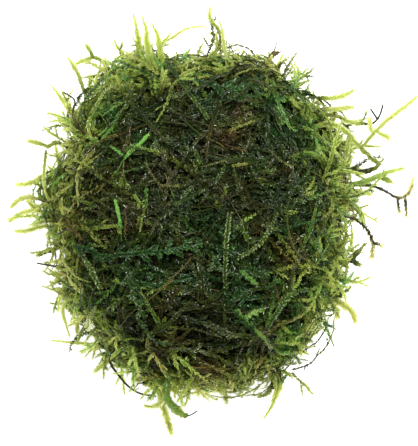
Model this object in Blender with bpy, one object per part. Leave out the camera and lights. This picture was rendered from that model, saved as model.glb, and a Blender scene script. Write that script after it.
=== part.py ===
# A wad of java moss that lies on a flat surface: one tangled clump, and the shoots that stand clear of it.
# Metres, +Z up. The origin is on the surface, under the middle of the plant. +Y is the photograph's top.

import math
import random
from collections import namedtuple

import bmesh
import bpy
from mathutils import Vector, noise
from mathutils.bvhtree import BVHTree

MM = 0.001

# Clump
CLUMP_CENTRE = (-2.0, 0.0)  # mm, in plan
CLUMP_HEIGHT = 36.5  # mm
CLUMP_REACH = (  # mm, every 30 degrees from +X towards +Y
    36.5, 38.0, 39.0, 40.0, 41.5, 40.0, 38.5, 37.5, 39.5, 40.0, 39.5, 36.5,
)
CLUMP_PROFILE = (  # share of the reach and of the height, from the foot's middle to the crown
    (0.0, 0.0),
    (0.28, 0.0),
    (0.56, 0.0),
    (0.84, 0.0),
    (0.97, 0.18),
    (1.0, 0.38),
    (0.93, 0.58),
    (0.78, 0.76),
    (0.56, 0.89),
    (0.29, 0.975),
    (0.0, 1.0),
)
CLUMP_SPLITS = 4  # 1 gives the clump 20 faces, and each one more splits every face in four
LUMP_SPACING = 13.0  # mm between one swelling and the next
LUMP_SHARE = 0.12  # how far a swelling stands out, as a share of its distance from the clump's heart
HEART_HEIGHT = 0.35  # share of the clump's height

# Tufts: shoot tips that rise from the clump, fused to it, and bend over to run along its surface
TUFT_COUNT = 200
TUFT_LENGTH = (6.0, 11.0)  # mm
TUFT_RADIUS = 1.05  # mm at its foot
TUFT_RISE = 0.42  # share of its length that it rises
TUFT_RINGS = ((0.35, 0.95), (0.7, 0.75), (1.0, 0.25))  # share of its length, share of its radius
TUFT_SPACING = 2.5  # mm kept clear between tufts
TUFT_TO_SHOOT = 3.4  # mm kept clear between a tuft and a shoot
TUFT_LOWEST = 2.4  # mm above the surface that the moss lies on
TUFT_SEED = 23

# Shoots
GAP = 0.35  # mm between a shoot and the clump that it grows from
SHOOT_SIDES = 5
SHOOT_STEP = 3.0  # mm between the rings of a shoot
LEAFY_RADIUS = 0.8  # mm, out to the leaf tips
STEM_RADIUS = 0.36  # mm, a bare stem
TWIG_SHARE = 0.72  # of the stem's radius, for the twigs of a fork
TIP_SHARE = 0.3  # of the radius, at a shoot's tip
LEAFY_FLATNESS = 0.78  # a leafy shoot's thickness beside its width
REST_HEIGHT = 0.45  # mm between the clump and a shoot that lies on it

Look = namedtuple("Look", "colour roughness")
LOOKS = {
    "moss_tangle": Look((0.040, 0.062, 0.020), 0.5),
    "pale_shoot": Look((0.40, 0.50, 0.12), 0.45),
    "green_shoot": Look((0.09, 0.20, 0.03), 0.45),
    "bare_stem": Look((0.06, 0.05, 0.028), 0.5),
}

Shoot = namedtuple("Shoot", "look route twigs", defaults=[()])

# Shoots that stand out from the clump's side. Each has its look, its route from the root to the tip
# as (x, y, z) in mm, and its twigs, each from a point on the stem to its own tip. Roots start inside the
# clump and are cut back to its surface.
SIDE_SHOOTS = {
    "stem_right_1": Shoot(
        "bare_stem",
        [
            (31, 10, 16), (37.3, 9.4, 15), (40.5, 9.1, 13.5), (44, 7.6, 12), (47.3, 6.1, 11),
            (50, 8, 10), (50.6, 10.8, 9.5),
        ],
        twigs=[((46.7, 6.3, 11.1), (47.4, 2.4, 9)), ((48.6, 6.8, 10.6), (49.2, 1.6, 9.4))],
    ),
    "shoot_right_1": Shoot(
        "green_shoot",
        [(30, 8, 20), (37.3, 9.9, 19.5), (40.5, 11.1, 19), (44, 12.4, 18), (47.5, 13.4, 17.5)],
        twigs=[((41.5, 11.5, 18.8), (44.6, 9.9, 18))],
    ),
    "stem_right_2": Shoot(
        "bare_stem",
        [(30, 11, 10.5), (35.5, 13.4, 10.5), (39.8, 16.1, 10), (43, 16.4, 9.5)],
    ),
    "shoot_right_2": Shoot(
        "green_shoot",
        [(30, 13.5, 14.5), (36.5, 12.6, 14.3), (40.5, 13.4, 13.8), (42.8, 15.6, 13)],
    ),
    "shoot_right_3": Shoot(
        "pale_shoot",
        [
            (21.5, 21.5, 24), (27.5, 24.2, 24.5), (31, 23.6, 24.5), (33.6, 21.6, 24),
            (35.5, 19.4, 23.5), (38.3, 16.6, 22.5), (41, 14.4, 22),
        ],
        twigs=[((33.9, 21.2, 24), (33, 16.8, 22.6))],
    ),
    "shoot_right_4": Shoot(
        "pale_shoot",
        [
            (37.45, 19.15, 23.2), (39.2, 21.2, 23.4), (41.5, 23.6, 23), (44.8, 26.4, 22),
            (48, 28.8, 21), (50.4, 30.8, 20),
        ],
        twigs=[((39.4, 21.6, 23.3), (38.6, 25.2, 22.8)), ((40.2, 22.3, 23.2), (43.4, 20.6, 22.4))],
    ),
    "stem_right_3": Shoot(
        "bare_stem",
        [
            (22, 25, 16), (27, 26.6, 16.5), (30.8, 26.4, 16.5), (33.8, 25.1, 16.5),
            (36.8, 24.6, 16), (40, 24.6, 15.5), (41.8, 26.4, 15), (42.8, 29.4, 14.5),
        ],
        twigs=[((41.2, 25.8, 15.2), (39.6, 28.3, 14.6))],
    ),
    "shoot_right_5": Shoot(
        "pale_shoot",
        [(21, 26.5, 20), (26.5, 27.4, 20.3), (29.8, 27.7, 20.5), (32.3, 28, 20.5), (34.6, 28.3, 20)],
    ),
    "shoot_right_6": Shoot(
        "pale_shoot",
        [(19, 29, 17), (24.5, 30.8, 18), (29, 30.7, 18), (32.5, 31.3, 17.5), (35.1, 32.6, 17)],
    ),
    "stem_top_1": Shoot(
        "bare_stem",
        [(9.5, 33, 12), (13.4, 39, 12.5), (15.6, 42.6, 12.5), (16.6, 45.4, 12)],
        twigs=[((15, 41.6, 12.5), (17.6, 42.8, 12))],
    ),
    "shoot_top_1": Shoot(
        "green_shoot",
        [
            (-0.5, 36, 12), (0.8, 41.5, 12.5), (2.2, 44.5, 13), (2.3, 46.6, 13), (1.3, 48.9, 12.5),
            (-0.3, 51.1, 12), (-0.3, 53.4, 12),
        ],
    ),
    "shoot_top_2": Shoot(
        "pale_shoot",
        [(4.5, 36, 16), (3.6, 42, 16.5), (3, 45.4, 16.5), (2.8, 47.6, 16.5), (2, 50, 16)],
    ),
    "shoot_top_3": Shoot(
        "pale_shoot",
        [
            (-15, 36, 10), (-13.4, 41.5, 10), (-12.3, 44.9, 10), (-9.8, 46.4, 9.5),
            (-6.5, 48.6, 9), (-3.2, 49.3, 8.5), (-1.6, 49.2, 8.5),
        ],
    ),
    "shoot_top_4": Shoot(
        "pale_shoot",
        [(-16.5, 35, 15), (-17.6, 42, 15.5), (-18, 45.4, 16), (-18.6, 48.8, 16), (-19.3, 51.7, 15.5)],
    ),
    "shoot_top_5": Shoot(
        "pale_shoot",
        [
            (-14.2, 34, 20), (-15.2, 41.5, 20), (-15.8, 44.6, 20.5), (-15.9, 47.3, 20.5),
            (-16.8, 50.4, 20),
        ],
    ),
    "shoot_top_6": Shoot(
        "pale_shoot",
        [
            (-11, 34.5, 15), (-12.3, 41.5, 15.3), (-12.9, 44.5, 15.5), (-13.3, 46.8, 15.5),
            (-14.5, 49, 15),
        ],
    ),
    "shoot_left_1": Shoot(
        "green_shoot",
        [(-21.5, 31, 13), (-25.5, 38.5, 13), (-28.5, 41, 13), (-31, 40.7, 12.5), (-33.6, 39.7, 12)],
        twigs=[((-29.2, 41, 13), (-31, 44.2, 12.4))],
    ),
    "shoot_left_2": Shoot(
        "green_shoot",
        [(-26.5, 25, 17), (-30.5, 30.5, 17.5), (-31.8, 33.6, 18), (-33, 36.9, 18), (-35.2, 40.5, 17.5)],
    ),
    "shoot_left_3": Shoot(
        "pale_shoot",
        [(-28.5, 20.5, 13.5), (-33, 25.4, 14), (-35.4, 28.3, 14), (-37.6, 31.3, 13.5), (-39.7, 34, 13)],
    ),
    "stem_left_1": Shoot(
        "bare_stem",
        [(-28, 18, 20.5), (-33, 24.2, 22), (-33.8, 27.2, 22), (-33.4, 30, 22), (-36.2, 31.9, 21.5)],
    ),
    "shoot_left_4": Shoot(
        "green_shoot",
        [(-32, 16, 16), (-37.5, 19.6, 16.5), (-40.2, 19, 16.5), (-42.8, 19.7, 16), (-45.2, 20.2, 15.5)],
    ),
    "shoot_left_5": Shoot(
        "green_shoot",
        [(-40.8, 18, 16.3), (-41.2, 15, 16), (-41.5, 11.9, 15.5), (-41.2, 8, 15), (-40.6, 5.9, 14.4)],
    ),
    "shoot_left_6": Shoot(
        "pale_shoot",
        [
            (-33, 14.8, 11), (-39, 13.2, 11), (-41.9, 12, 11), (-43.9, 10.5, 10.5), (-46, 9.7, 10),
            (-48.7, 9.5, 9.5),
        ],
    ),
    "shoot_left_7": Shoot(
        "green_shoot",
        [
            (-34, 4, 18), (-40, 5, 18.6), (-42.8, 5.9, 18.6), (-45.3, 6.2, 18.2),
            (-47.8, 5.4, 17.5), (-49.4, 3.7, 17),
        ],
    ),
    "shoot_left_8": Shoot(
        "pale_shoot",
        [(-34, 1, 13), (-40.5, 2, 13.2), (-44, 3.1, 13.2), (-47.6, 2.1, 12.8), (-50.3, 0.3, 12.4)],
        twigs=[((-42.6, 2.7, 13.2), (-45.8, 5.4, 13))],
    ),
    "shoot_left_9": Shoot(
        "pale_shoot",
        [(-34, -1.5, 9), (-40, -1, 9.3), (-43, -1.1, 9.3), (-46.5, -2.1, 9), (-49.2, -2.2, 8.5)],
    ),
    "shoot_left_10": Shoot(
        "green_shoot",
        [(-33, -4.6, 13), (-38.5, -6.3, 13.3), (-41, -7.2, 13.3), (-43.3, -8.2, 13)],
    ),
    "stem_left_2": Shoot(
        "bare_stem",
        [(-33, -10.4, 10), (-38, -11, 10.2), (-41, -10.7, 10.2), (-43.8, -10.2, 10)],
    ),
    "shoot_left_11": Shoot(
        "green_shoot",
        [
            (-26.5, -19.6, 12), (-31.5, -22, 12.2), (-34, -22.3, 12.2), (-36, -21.1, 12),
            (-38.4, -19.7, 11.5),
        ],
    ),
    "shoot_left_12": Shoot(
        "pale_shoot",
        [
            (-29.5, -14.5, 17.5), (-35, -18.5, 18), (-36.6, -21.4, 18), (-35.9, -25, 17.5),
            (-35, -28, 17),
        ],
    ),
    "shoot_left_13": Shoot(
        "pale_shoot",
        [(-26.5, -20.4, 15.8), (-31, -22.8, 15.9), (-33, -24.4, 15.7), (-33.2, -27.2, 15.2)],
    ),
    "shoot_left_14": Shoot(
        "pale_shoot",
        [
            (-20.5, -26.5, 9), (-25.8, -29.8, 9.4), (-29, -30.7, 9.4), (-32.8, -30.4, 9),
            (-36.8, -30.1, 8.5), (-39.9, -29.7, 8),
        ],
        twigs=[((-30.2, -30.8, 9.3), (-32.6, -32.9, 9))],
    ),
    "stem_left_3": Shoot(
        "bare_stem",
        [
            (-24.5, -24.5, 12.6), (-29.5, -27, 12.8), (-32.4, -28.3, 12.6), (-34.9, -30.4, 12),
            (-35.3, -31.9, 11.5),
        ],
    ),
    "shoot_bottom_1": Shoot(
        "pale_shoot",
        [(-19.5, -29.5, 13.5), (-23.8, -33.6, 13.8), (-26.3, -34.9, 13.8), (-28.9, -37.1, 13)],
    ),
    "stem_bottom_1": Shoot(
        "bare_stem",
        [
            (-20, -26, 19), (-24.5, -32.5, 18.6), (-24.6, -35.2, 17.4), (-22.8, -38.1, 15.5),
            (-20.8, -40.6, 14), (-18.5, -42.4, 12.5), (-16.5, -43.1, 11.5), (-13.8, -43.6, 10.5),
        ],
    ),
    "shoot_bottom_2": Shoot(
        "green_shoot",
        [(-9.6, -35, 11), (-13, -39, 11), (-15.5, -39.9, 10.8), (-18.6, -40.5, 10.3)],
        twigs=[((-14.6, -39.6, 10.9), (-17.2, -37.9, 10.4))],
    ),
    "shoot_bottom_3": Shoot(
        "pale_shoot",
        [
            (-8.5, -35, 15), (-11, -42.2, 15.2), (-12.6, -44.9, 15), (-14.5, -45.7, 14.5),
            (-16.3, -45.7, 14),
        ],
    ),
    "shoot_bottom_4": Shoot(
        "pale_shoot",
        [(-14.2, -35, 6.5), (-13, -42, 6.8), (-12.4, -45.5, 6.5), (-11.3, -49.2, 6), (-10, -53.4, 5)],
    ),
    "shoot_bottom_5": Shoot(
        "green_shoot",
        [
            (-9.6, -34, 19.5), (-11, -41.5, 19.4), (-9.6, -45, 18.4), (-7.6, -47.1, 17.2),
            (-5.6, -47.9, 16), (-3.4, -46.8, 15.5),
        ],
    ),
    "shoot_bottom_6": Shoot(
        "pale_shoot",
        [(2.3, -35, 9), (3.3, -41, 9.3), (3.6, -43.3, 9), (3.8, -45.2, 8.5)],
    ),
    "shoot_bottom_7": Shoot(
        "green_shoot",
        [
            (14.8, -31.5, 12), (15.6, -38.5, 12.3), (15.2, -41, 12.2), (13.8, -42.9, 12),
            (12.1, -43.5, 11.5),
        ],
    ),
    "shoot_bottom_8": Shoot(
        "pale_shoot",
        [(16, -31.5, 7.3), (17.2, -39.5, 7.5), (16.6, -43, 7.2), (15.5, -46, 6.7), (13.5, -49.5, 6)],
    ),
    "shoot_right_7": Shoot(
        "pale_shoot",
        [(23, -14, 12.5), (29, -18.2, 13), (32.3, -20.1, 13), (34.8, -22, 12.5), (36, -24.5, 12)],
    ),
    "shoot_right_8": Shoot(
        "pale_shoot",
        [(23, -16.5, 8.3), (29.3, -19.6, 8.6), (31.2, -21.4, 8.5), (31.9, -23.7, 8.2)],
    ),
    "stem_right_4": Shoot(
        "bare_stem",
        [
            (28.5, 2.2, 16.5), (34.8, 1.2, 17), (37.6, -0.6, 17), (39.6, -3.4, 16.5),
            (40.1, -6.1, 16), (39.8, -8.9, 15.5),
        ],
        twigs=[((40, -5, 16.2), (42.2, -5.6, 15.8))],
    ),
    "shoot_right_9": Shoot(
        "green_shoot",
        [(28, -11.2, 12), (33.6, -9.8, 12.3), (36.5, -7.6, 12.3), (38.6, -5.3, 12)],
        twigs=[((34.6, -9.2, 12.3), (37.2, -10.6, 12))],
    ),
    "shoot_right_10": Shoot(
        "green_shoot",
        [(24.5, -15.2, 17.5), (30.5, -17.8, 17.8), (33, -17.2, 17.5), (34.4, -15.9, 17.3)],
    ),
    "shoot_right_11": Shoot(
        "pale_shoot",
        [(29, 6, 11.5), (35, 7.6, 11.6), (37.5, 7.6, 11.3), (39.9, 7, 10.8)],
    ),
}

# Shoots that lie on the clump, with their routes in plan: (x, y) in mm.
LYING_SHOOTS = {
    "lying_shoot_1": Shoot(
        "pale_shoot",
        [(-23.3, 11.9), (-20.8, 16.1), (-18.3, 18.4), (-15.6, 21.3)],
        twigs=[((-21, 15.9), (-24.2, 18.6))],
    ),
    "lying_shoot_2": Shoot(
        "pale_shoot",
        [(-22.5, 26.2), (-24, 23.6), (-26.4, 20.9)],
    ),
    "lying_shoot_3": Shoot(
        "pale_shoot",
        [(-22, -4.4), (-22.5, 0.1), (-23.6, 5.3)],
    ),
    "lying_shoot_4": Shoot(
        "green_shoot",
        [(16.2, 3), (14, -2.1), (10.8, -5.9), (7, -8.6)],
    ),
    "lying_shoot_5": Shoot(
        "green_shoot",
        [(18.6, 2.4), (19, -2.4), (21, -7.4), (25, -10.4)],
    ),
    "lying_shoot_6": Shoot(
        "green_shoot",
        [(3.8, -16.8), (3.5, -13.6), (4, -5.4), (4.6, 2.2)],
    ),
    "lying_shoot_7": Shoot(
        "pale_shoot",
        [(7.2, -11.6), (8.5, -13.2), (11, -15.4)],
    ),
    "lying_shoot_8": Shoot(
        "pale_shoot",
        [(6, -21.2), (8.8, -24.9), (12, -27.8), (14.4, -30.6)],
        twigs=[((7.6, -23.4), (12.8, -21.2))],
    ),
    "lying_stem_1": Shoot(
        "bare_stem",
        [(-9.6, -14.4), (-15.5, -19.4), (-18.8, -21.8), (-22.6, -25.6)],
    ),
}


def remove_everything():
    for obj in list(bpy.data.objects):
        bpy.data.objects.remove(obj)


def material(look):
    found = bpy.data.materials.get(look)
    if found:
        return found
    made = bpy.data.materials.new(look)
    made.use_nodes = True
    shader = made.node_tree.nodes["Principled BSDF"]
    shader.inputs["Base Color"].default_value = (*LOOKS[look].colour, 1)
    shader.inputs["Roughness"].default_value = LOOKS[look].roughness
    shader.inputs["Metallic"].default_value = 0
    return made


def add_object(bm, name, look):
    mesh = bpy.data.meshes.new(name)
    bm.to_mesh(mesh)
    bm.free()
    mesh.materials.append(material(look))
    mesh.shade_smooth()
    obj = bpy.data.objects.new(name, mesh)
    bpy.context.scene.collection.objects.link(obj)
    return obj


def add_helper(bm, name, look):
    obj = add_object(bm, name, look)
    obj.hide_render = True
    obj.display_type = "WIRE"
    return obj


def join_rings(bm, low, high):
    # Faces between two rings that run anticlockwise as seen from beyond the second one
    for k in range(len(low)):
        after = (k + 1) % len(low)
        bm.faces.new((low[k], low[after], high[after], high[k]))


def smooth(before, start, end, after, share):
    # Catmull-Rom: the curve runs from start to end, and heads for its neighbours
    slope = (end - before) * share
    bend = (2 * before - 5 * start + 4 * end - after) * share**2
    twist = (3 * start - before - 3 * end + after) * share**3
    return (2 * start + slope + bend + twist) / 2


def smooth_route(points):
    # Points every SHOOT_STEP or so on a smooth curve through the route's own points
    route = [Vector(p) for p in points]
    route = [2 * route[0] - route[1], *route, 2 * route[-1] - route[-2]]
    found = []
    for before, start, end, after in zip(route, route[1:], route[2:], route[3:]):
        count = max(1, round((end - start).length / SHOOT_STEP))
        found += [smooth(before, start, end, after, k / count) for k in range(count)]
    return found + [route[-2]]


def reach_at(angle):
    place = angle / math.tau * len(CLUMP_REACH)
    k = math.floor(place)
    values = [CLUMP_REACH[(k + i) % len(CLUMP_REACH)] for i in (-1, 0, 1, 2)]
    return smooth(*values, place - k)


def profile_at(level):
    last = len(CLUMP_PROFILE) - 1
    place = level * last
    k = min(math.floor(place), last - 1)
    values = [Vector(CLUMP_PROFILE[min(max(k + i, 0), last)]) for i in (-1, 0, 1, 2)]
    return smooth(*values, place - k)


def swollen(point):
    # Moves a point away from the clump's heart where the moss swells, and towards it in the dips
    heart = Vector((*CLUMP_CENTRE, CLUMP_HEIGHT * HEART_HEIGHT))
    moved = heart + (point - heart) * (1 + noise.noise(point / LUMP_SPACING) * LUMP_SHARE)
    moved.z = max(moved.z, 0.0) if point.z > 0 else 0.0
    return moved


def clump_point(direction):
    # Where the clump's surface is, in a direction given by a unit vector
    share, rise = profile_at(0.5 + math.asin(max(-1, min(direction.z, 1))) / math.pi)
    angle = math.atan2(direction.y, direction.x)
    reach = reach_at(angle) * share
    x = CLUMP_CENTRE[0] + reach * math.cos(angle)
    y = CLUMP_CENTRE[1] + reach * math.sin(angle)
    return swollen(Vector((x, y, CLUMP_HEIGHT * rise)))


def clump_form(grow=0.0):
    # The clump without its tufts, grown outwards by so many mm, on one flat foot
    bm = bmesh.new()
    bmesh.ops.create_icosphere(bm, subdivisions=CLUMP_SPLITS, radius=1)
    for vert in bm.verts:
        vert.co = clump_point(vert.co)
    foot = [face for face in bm.faces if max(v.co.z for v in face.verts) == 0]
    bmesh.ops.dissolve_faces(bm, faces=foot, use_verts=True)
    bm.normal_update()
    for vert, normal in [(v, v.normal.copy()) for v in bm.verts]:
        vert.co += normal * grow
    return bm


def nearest(line, others):
    return min(((p - other).length for p in line for other in others), default=math.inf)


def add_tuft(bm, face, tuft_at):
    # Draws a face out into a pointed rod along tuft_at, which runs from 0 at the root to 1 at the tip
    normal = face.normal.copy()
    root = tuft_at(0)
    ring = [(v.co - root).normalized() * TUFT_RADIUS for v in face.verts]
    for share, width in ((0.0, 1.0), *TUFT_RINGS):
        face = bmesh.ops.extrude_discrete_faces(bm, faces=[face])["faces"][0]
        heading = tuft_at(share) - tuft_at(share - 0.1) if share else normal
        turn = normal.rotation_difference(heading)
        for vert, offset in zip(face.verts, ring):
            vert.co = tuft_at(share) + turn @ offset * width


def add_tufts(bm, shoot_points):
    draw = random.Random(TUFT_SEED)
    faces = [face for face in bm.faces if len(face.verts) == 3]
    draw.shuffle(faces)
    taken = []
    count = 0
    for face in faces:
        normal = face.normal.copy()
        root = face.calc_center_median()
        length = draw.uniform(*TUFT_LENGTH)
        across = normal.cross(Vector(draw.uniform(-1, 1) for _ in range(3))).normalized()

        def tuft_at(share):
            rise = normal * math.sin(share * math.pi / 2) * TUFT_RISE
            return root + (rise + across * share * abs(share) * (1 - TUFT_RISE)) * length

        line = [tuft_at(k / 5) for k in range(6)]
        low = min(p.z for p in line) < TUFT_LOWEST
        if low or nearest(line, taken) < TUFT_SPACING or nearest(line, shoot_points) < TUFT_TO_SHOOT:
            continue
        add_tuft(bm, face, tuft_at)
        taken += line
        count += 1
        if count == TUFT_COUNT:
            return


def rod(points, radius, flatness):
    # A rod along the points, wider than it is thick, that narrows to its tip
    bm = bmesh.new()
    rings = []
    last = len(points) - 1
    for i, point in enumerate(points):
        along = (points[min(i + 1, last)] - points[max(i - 1, 0)]).normalized()
        side = Vector((0, 0, 1)).cross(along).normalized()
        up = along.cross(side) * flatness
        width = radius * (1 - (1 - TIP_SHARE) * (i / last) ** 3)
        turns = [k / SHOOT_SIDES * math.tau for k in range(SHOOT_SIDES)]
        rings.append([bm.verts.new(point + (side * math.cos(t) + up * math.sin(t)) * width) for t in turns])
    for low, high in zip(rings, rings[1:]):
        join_rings(bm, low, high)
    bm.faces.new(reversed(rings[0]))
    bm.faces.new(rings[-1])
    return bm


def add_boolean(obj, other, operation):
    modifier = obj.modifiers.new(f"{operation.lower()} {other.name}", "BOOLEAN")
    modifier.operation = operation
    modifier.solver = "EXACT"
    modifier.object = other


def add_shoot(name, look, points, twigs):
    bare = look == "bare_stem"
    radius = STEM_RADIUS if bare else LEAFY_RADIUS
    flatness = 1.0 if bare else LEAFY_FLATNESS
    shoot = add_object(rod(points, radius, flatness), name, look)
    for k, twig_points in enumerate(twigs, 1):
        twig = add_helper(rod(twig_points, radius * TWIG_SHARE, flatness), f"{name}_twig_{k}", look)
        add_boolean(shoot, twig, "UNION")
    return shoot


def side_route(shoot):
    return smooth_route(shoot.route), [smooth_route(twig) for twig in shoot.twigs]


def lying_route(shoot, tree):
    # The route in plan, lifted on to the clump
    def lifted(plan):
        over = [p + Vector((0, 0, CLUMP_HEIGHT * 2)) for p in smooth_route([(x, y, 0) for x, y in plan])]
        hits = [tree.ray_cast(p, Vector((0, 0, -1))) for p in over]
        return [place + normal * (REST_HEIGHT + LEAFY_RADIUS) for place, normal, *_ in hits]

    return lifted(shoot.route), [lifted(twig) for twig in shoot.twigs]


def centre_on_foot(left_out):
    # Brings the middle of the whole plant over the origin, and turns mm into metres
    meshes = [obj.data for obj in bpy.data.objects if obj != left_out]
    places = [vert.co for mesh in meshes for vert in mesh.vertices]
    middle = [(min(p[i] for p in places) + max(p[i] for p in places)) / 2 for i in (0, 1)]
    for mesh in bpy.data.meshes:
        for vert in mesh.vertices:
            vert.co = (vert.co - Vector((*middle, 0))) * MM


def build():
    remove_everything()
    clump = clump_form()
    tree = BVHTree.FromBMesh(clump)
    side = {name: side_route(shoot) for name, shoot in SIDE_SHOOTS.items()}
    lying = {name: lying_route(shoot, tree) for name, shoot in LYING_SHOOTS.items()}
    lines = [line for route, twigs in (*side.values(), *lying.values()) for line in (route, *twigs)]
    add_tufts(clump, [point for line in lines for point in line])
    add_object(clump, "moss_clump", "moss_tangle")
    clearance = add_helper(clump_form(GAP), "clump_clearance", "moss_tangle")
    for name, (route, twigs) in side.items():
        shoot = add_shoot(name, SIDE_SHOOTS[name].look, route, twigs)
        add_boolean(shoot, clearance, "DIFFERENCE")
    for name, (route, twigs) in lying.items():
        add_shoot(name, LYING_SHOOTS[name].look, route, twigs)
    centre_on_foot(clearance)


build()
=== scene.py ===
import math
import random

import bmesh
import bpy
import numpy as np
from mathutils import Matrix, Quaternion, Vector, noise
from mathutils.bvhtree import BVHTree


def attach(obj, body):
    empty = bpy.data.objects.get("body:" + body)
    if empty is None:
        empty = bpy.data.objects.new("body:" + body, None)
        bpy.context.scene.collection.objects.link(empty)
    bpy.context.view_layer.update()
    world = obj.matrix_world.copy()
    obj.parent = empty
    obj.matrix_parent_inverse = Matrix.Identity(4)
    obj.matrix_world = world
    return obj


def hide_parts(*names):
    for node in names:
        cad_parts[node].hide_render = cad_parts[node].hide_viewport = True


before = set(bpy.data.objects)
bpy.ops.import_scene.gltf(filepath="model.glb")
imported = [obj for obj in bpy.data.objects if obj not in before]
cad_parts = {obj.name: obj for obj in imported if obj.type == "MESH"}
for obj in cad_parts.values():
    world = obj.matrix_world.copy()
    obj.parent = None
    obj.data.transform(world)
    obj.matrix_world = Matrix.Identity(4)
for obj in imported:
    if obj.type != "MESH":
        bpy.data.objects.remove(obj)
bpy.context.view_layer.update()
print("frame loaded:", len(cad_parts), "solids")

mm = 0.001  # lengths are in mm until a mesh is made, and only the studio's are in m
up = Vector((0, 0, 1))

# The photograph's place over the moss, read off at the height of the rim
photo = {
    "size": (418, 446),  # pixels
    "mmPerPixel": 0.25,
    "centre": (-0.63, -0.13),  # mm, what the picture's middle looks down on
    "height": 12.0,  # mm, the level where that scale holds
    "lens": 150.0,
    "sensor": 36.0,
}


def eyePoint():
    tall = photo["size"][1] * photo["mmPerPixel"]
    return Vector((*photo["centre"], photo["height"] + tall * photo["lens"] / photo["sensor"]))


# The clump's outer form, the same as the solid that the shoots grow round
clump = {
    "centre": (-2.13, 0.0),
    "middle": (-0.13, 0.0),  # from the routes' own middle to the frame's origin
    "height": 36.5,
    "reach": (36.5, 38.0, 39.0, 40.0, 41.5, 40.0, 38.5, 37.5, 39.5, 40.0, 39.5, 36.5),  # every 30 degrees
    "profile": (
        (0.0, 0.0), (0.28, 0.0), (0.56, 0.0), (0.84, 0.0), (0.97, 0.18), (1.0, 0.38),
        (0.93, 0.58), (0.78, 0.76), (0.56, 0.89), (0.29, 0.975), (0.0, 1.0),
    ),  # share of the reach and of the height, from the foot's middle to the crown
    "lumpSpacing": 13.0,
    "lumpShare": 0.12,  # how far they swell
    "heart": 0.35,  # share of the height that the lumps swell from
    "splits": 6,  # of the ball that takes this form
}


def smooth(before, start, end, after, share):
    # A place on the smooth curve from start to end, with the points before and after them
    slope = (end - before) * share
    bend = (2 * before - 5 * start + 4 * end - after) * share**2
    twist = (3 * start - before - 3 * end + after) * share**3
    return (2 * start + slope + bend + twist) / 2


def reachAt(angle):
    count = len(clump["reach"])
    place = angle / math.tau * count
    k = math.floor(place)
    return smooth(*(clump["reach"][(k + i) % count] for i in (-1, 0, 1, 2)), place - k)


def profileAt(level):
    last = len(clump["profile"]) - 1
    place = level * last
    k = min(math.floor(place), last - 1)
    values = [Vector(clump["profile"][min(max(k + i, 0), last)]) for i in (-1, 0, 1, 2)]
    return smooth(*values, place - k)


def clumpPoint(direction):
    share, rise = profileAt(0.5 + math.asin(max(-1, min(direction.z, 1))) / math.pi)
    angle = math.atan2(direction.y, direction.x)
    reach = reachAt(angle) * share
    plan = Vector((reach * math.cos(angle), reach * math.sin(angle), 0))
    point = plan + Vector((*clump["centre"], clump["height"] * rise))
    heart = Vector((*clump["centre"], clump["height"] * clump["heart"]))
    lump = noise.noise((point - Vector((*clump["middle"], 0))) / clump["lumpSpacing"])
    moved = heart + (point - heart) * (1 + lump * clump["lumpShare"])
    moved.z = max(moved.z, 0.0) if point.z > 0 else 0.0
    return moved


def clumpForm():
    bm = bmesh.new()
    bmesh.ops.create_icosphere(bm, subdivisions=clump["splits"], radius=1)
    for vert in bm.verts:
        vert.co = clumpPoint(vert.co)
    bm.normal_update()
    return bm


clumpBm = clumpForm()
clumpTree = BVHTree.FromBMesh(clumpBm)
print("clump form ready")


# Leafy shoots are drawn first as thin lines with a few numbers on each point
class Lines:
    def __init__(self):
        self.points, self.ups, self.edges = [], [], []
        self.values = {"tone": [], "age": [], "leaf": [], "girth": []}

    def add(self, points, ups, **values):
        first = len(self.points)
        self.points += points
        self.ups += ups
        self.edges += [(first + k, first + k + 1) for k in range(len(points) - 1)]
        for name, found in self.values.items():
            value = values[name]
            found += list(value) if hasattr(value, "__len__") else [value] * len(points)

    def mesh(self, name):
        made = bpy.data.meshes.new(name)
        made.from_pydata([point * mm for point in self.points], self.edges, [])
        scales = {"leaf": mm, "girth": mm}
        for key, found in self.values.items():
            scaled = [value * scales.get(key, 1) for value in found]
            made.attributes.new(key, "FLOAT", "POINT").data.foreach_set("value", scaled)
        flat = np.array(self.ups, np.float32).ravel()
        made.attributes.new("up", "FLOAT_VECTOR", "POINT").data.foreach_set("vector", flat)
        return made


shoot = {
    "step": 1.6,  # mm between a line's points
    "girth": 0.14,  # mm, a stem's radius
    "bareGirth": 0.17,
    "roll": 0.5,  # radians, how far a shoot turns about itself
    "lowest": 1.1,  # mm that a line stays above the floor
    "rootLeaf": 0.75,  # a leaf's size at the root, beside the full one
    "rootShare": 0.25,  # share of the shoot where leaves grow to that
    "tipShare": 0.3,  # and where they shrink again
    "tipLoss": 0.45,
    "agePower": 1.6,  # a shoot gets younger mostly towards its tip
}
twig = {
    "angle": (40, 62),  # degrees between a twig and its stem
    "lean": 0.2,
    "curl": 0.06,
    "droop": 0.01,
    "wander": 0.06,
    "girth": 0.10,
    "leaf": 0.9,  # beside its stem's
    "tone": 0.03,
    "taper": 0.5,  # how much shorter it is towards the stem's tip
    "bareTip": 1,  # mm of that tip without twigs
}


def evenShares(count):
    return [k / max(count - 1, 1) for k in range(count)]


def leafSizes(count, size):
    sizes = []
    for share in evenShares(count):
        rise = shoot["rootLeaf"] + (1 - shoot["rootLeaf"]) * min(share / shoot["rootShare"], 1)
        loss = shoot["tipLoss"] * max(0, share - (1 - shoot["tipShare"])) / shoot["tipShare"]
        sizes.append(size * rise * (1 - loss))
    return sizes


def agesAndShade(count, start, end):
    return [start + (end - start) * share ** shoot["agePower"] for share in evenShares(count)]


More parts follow.
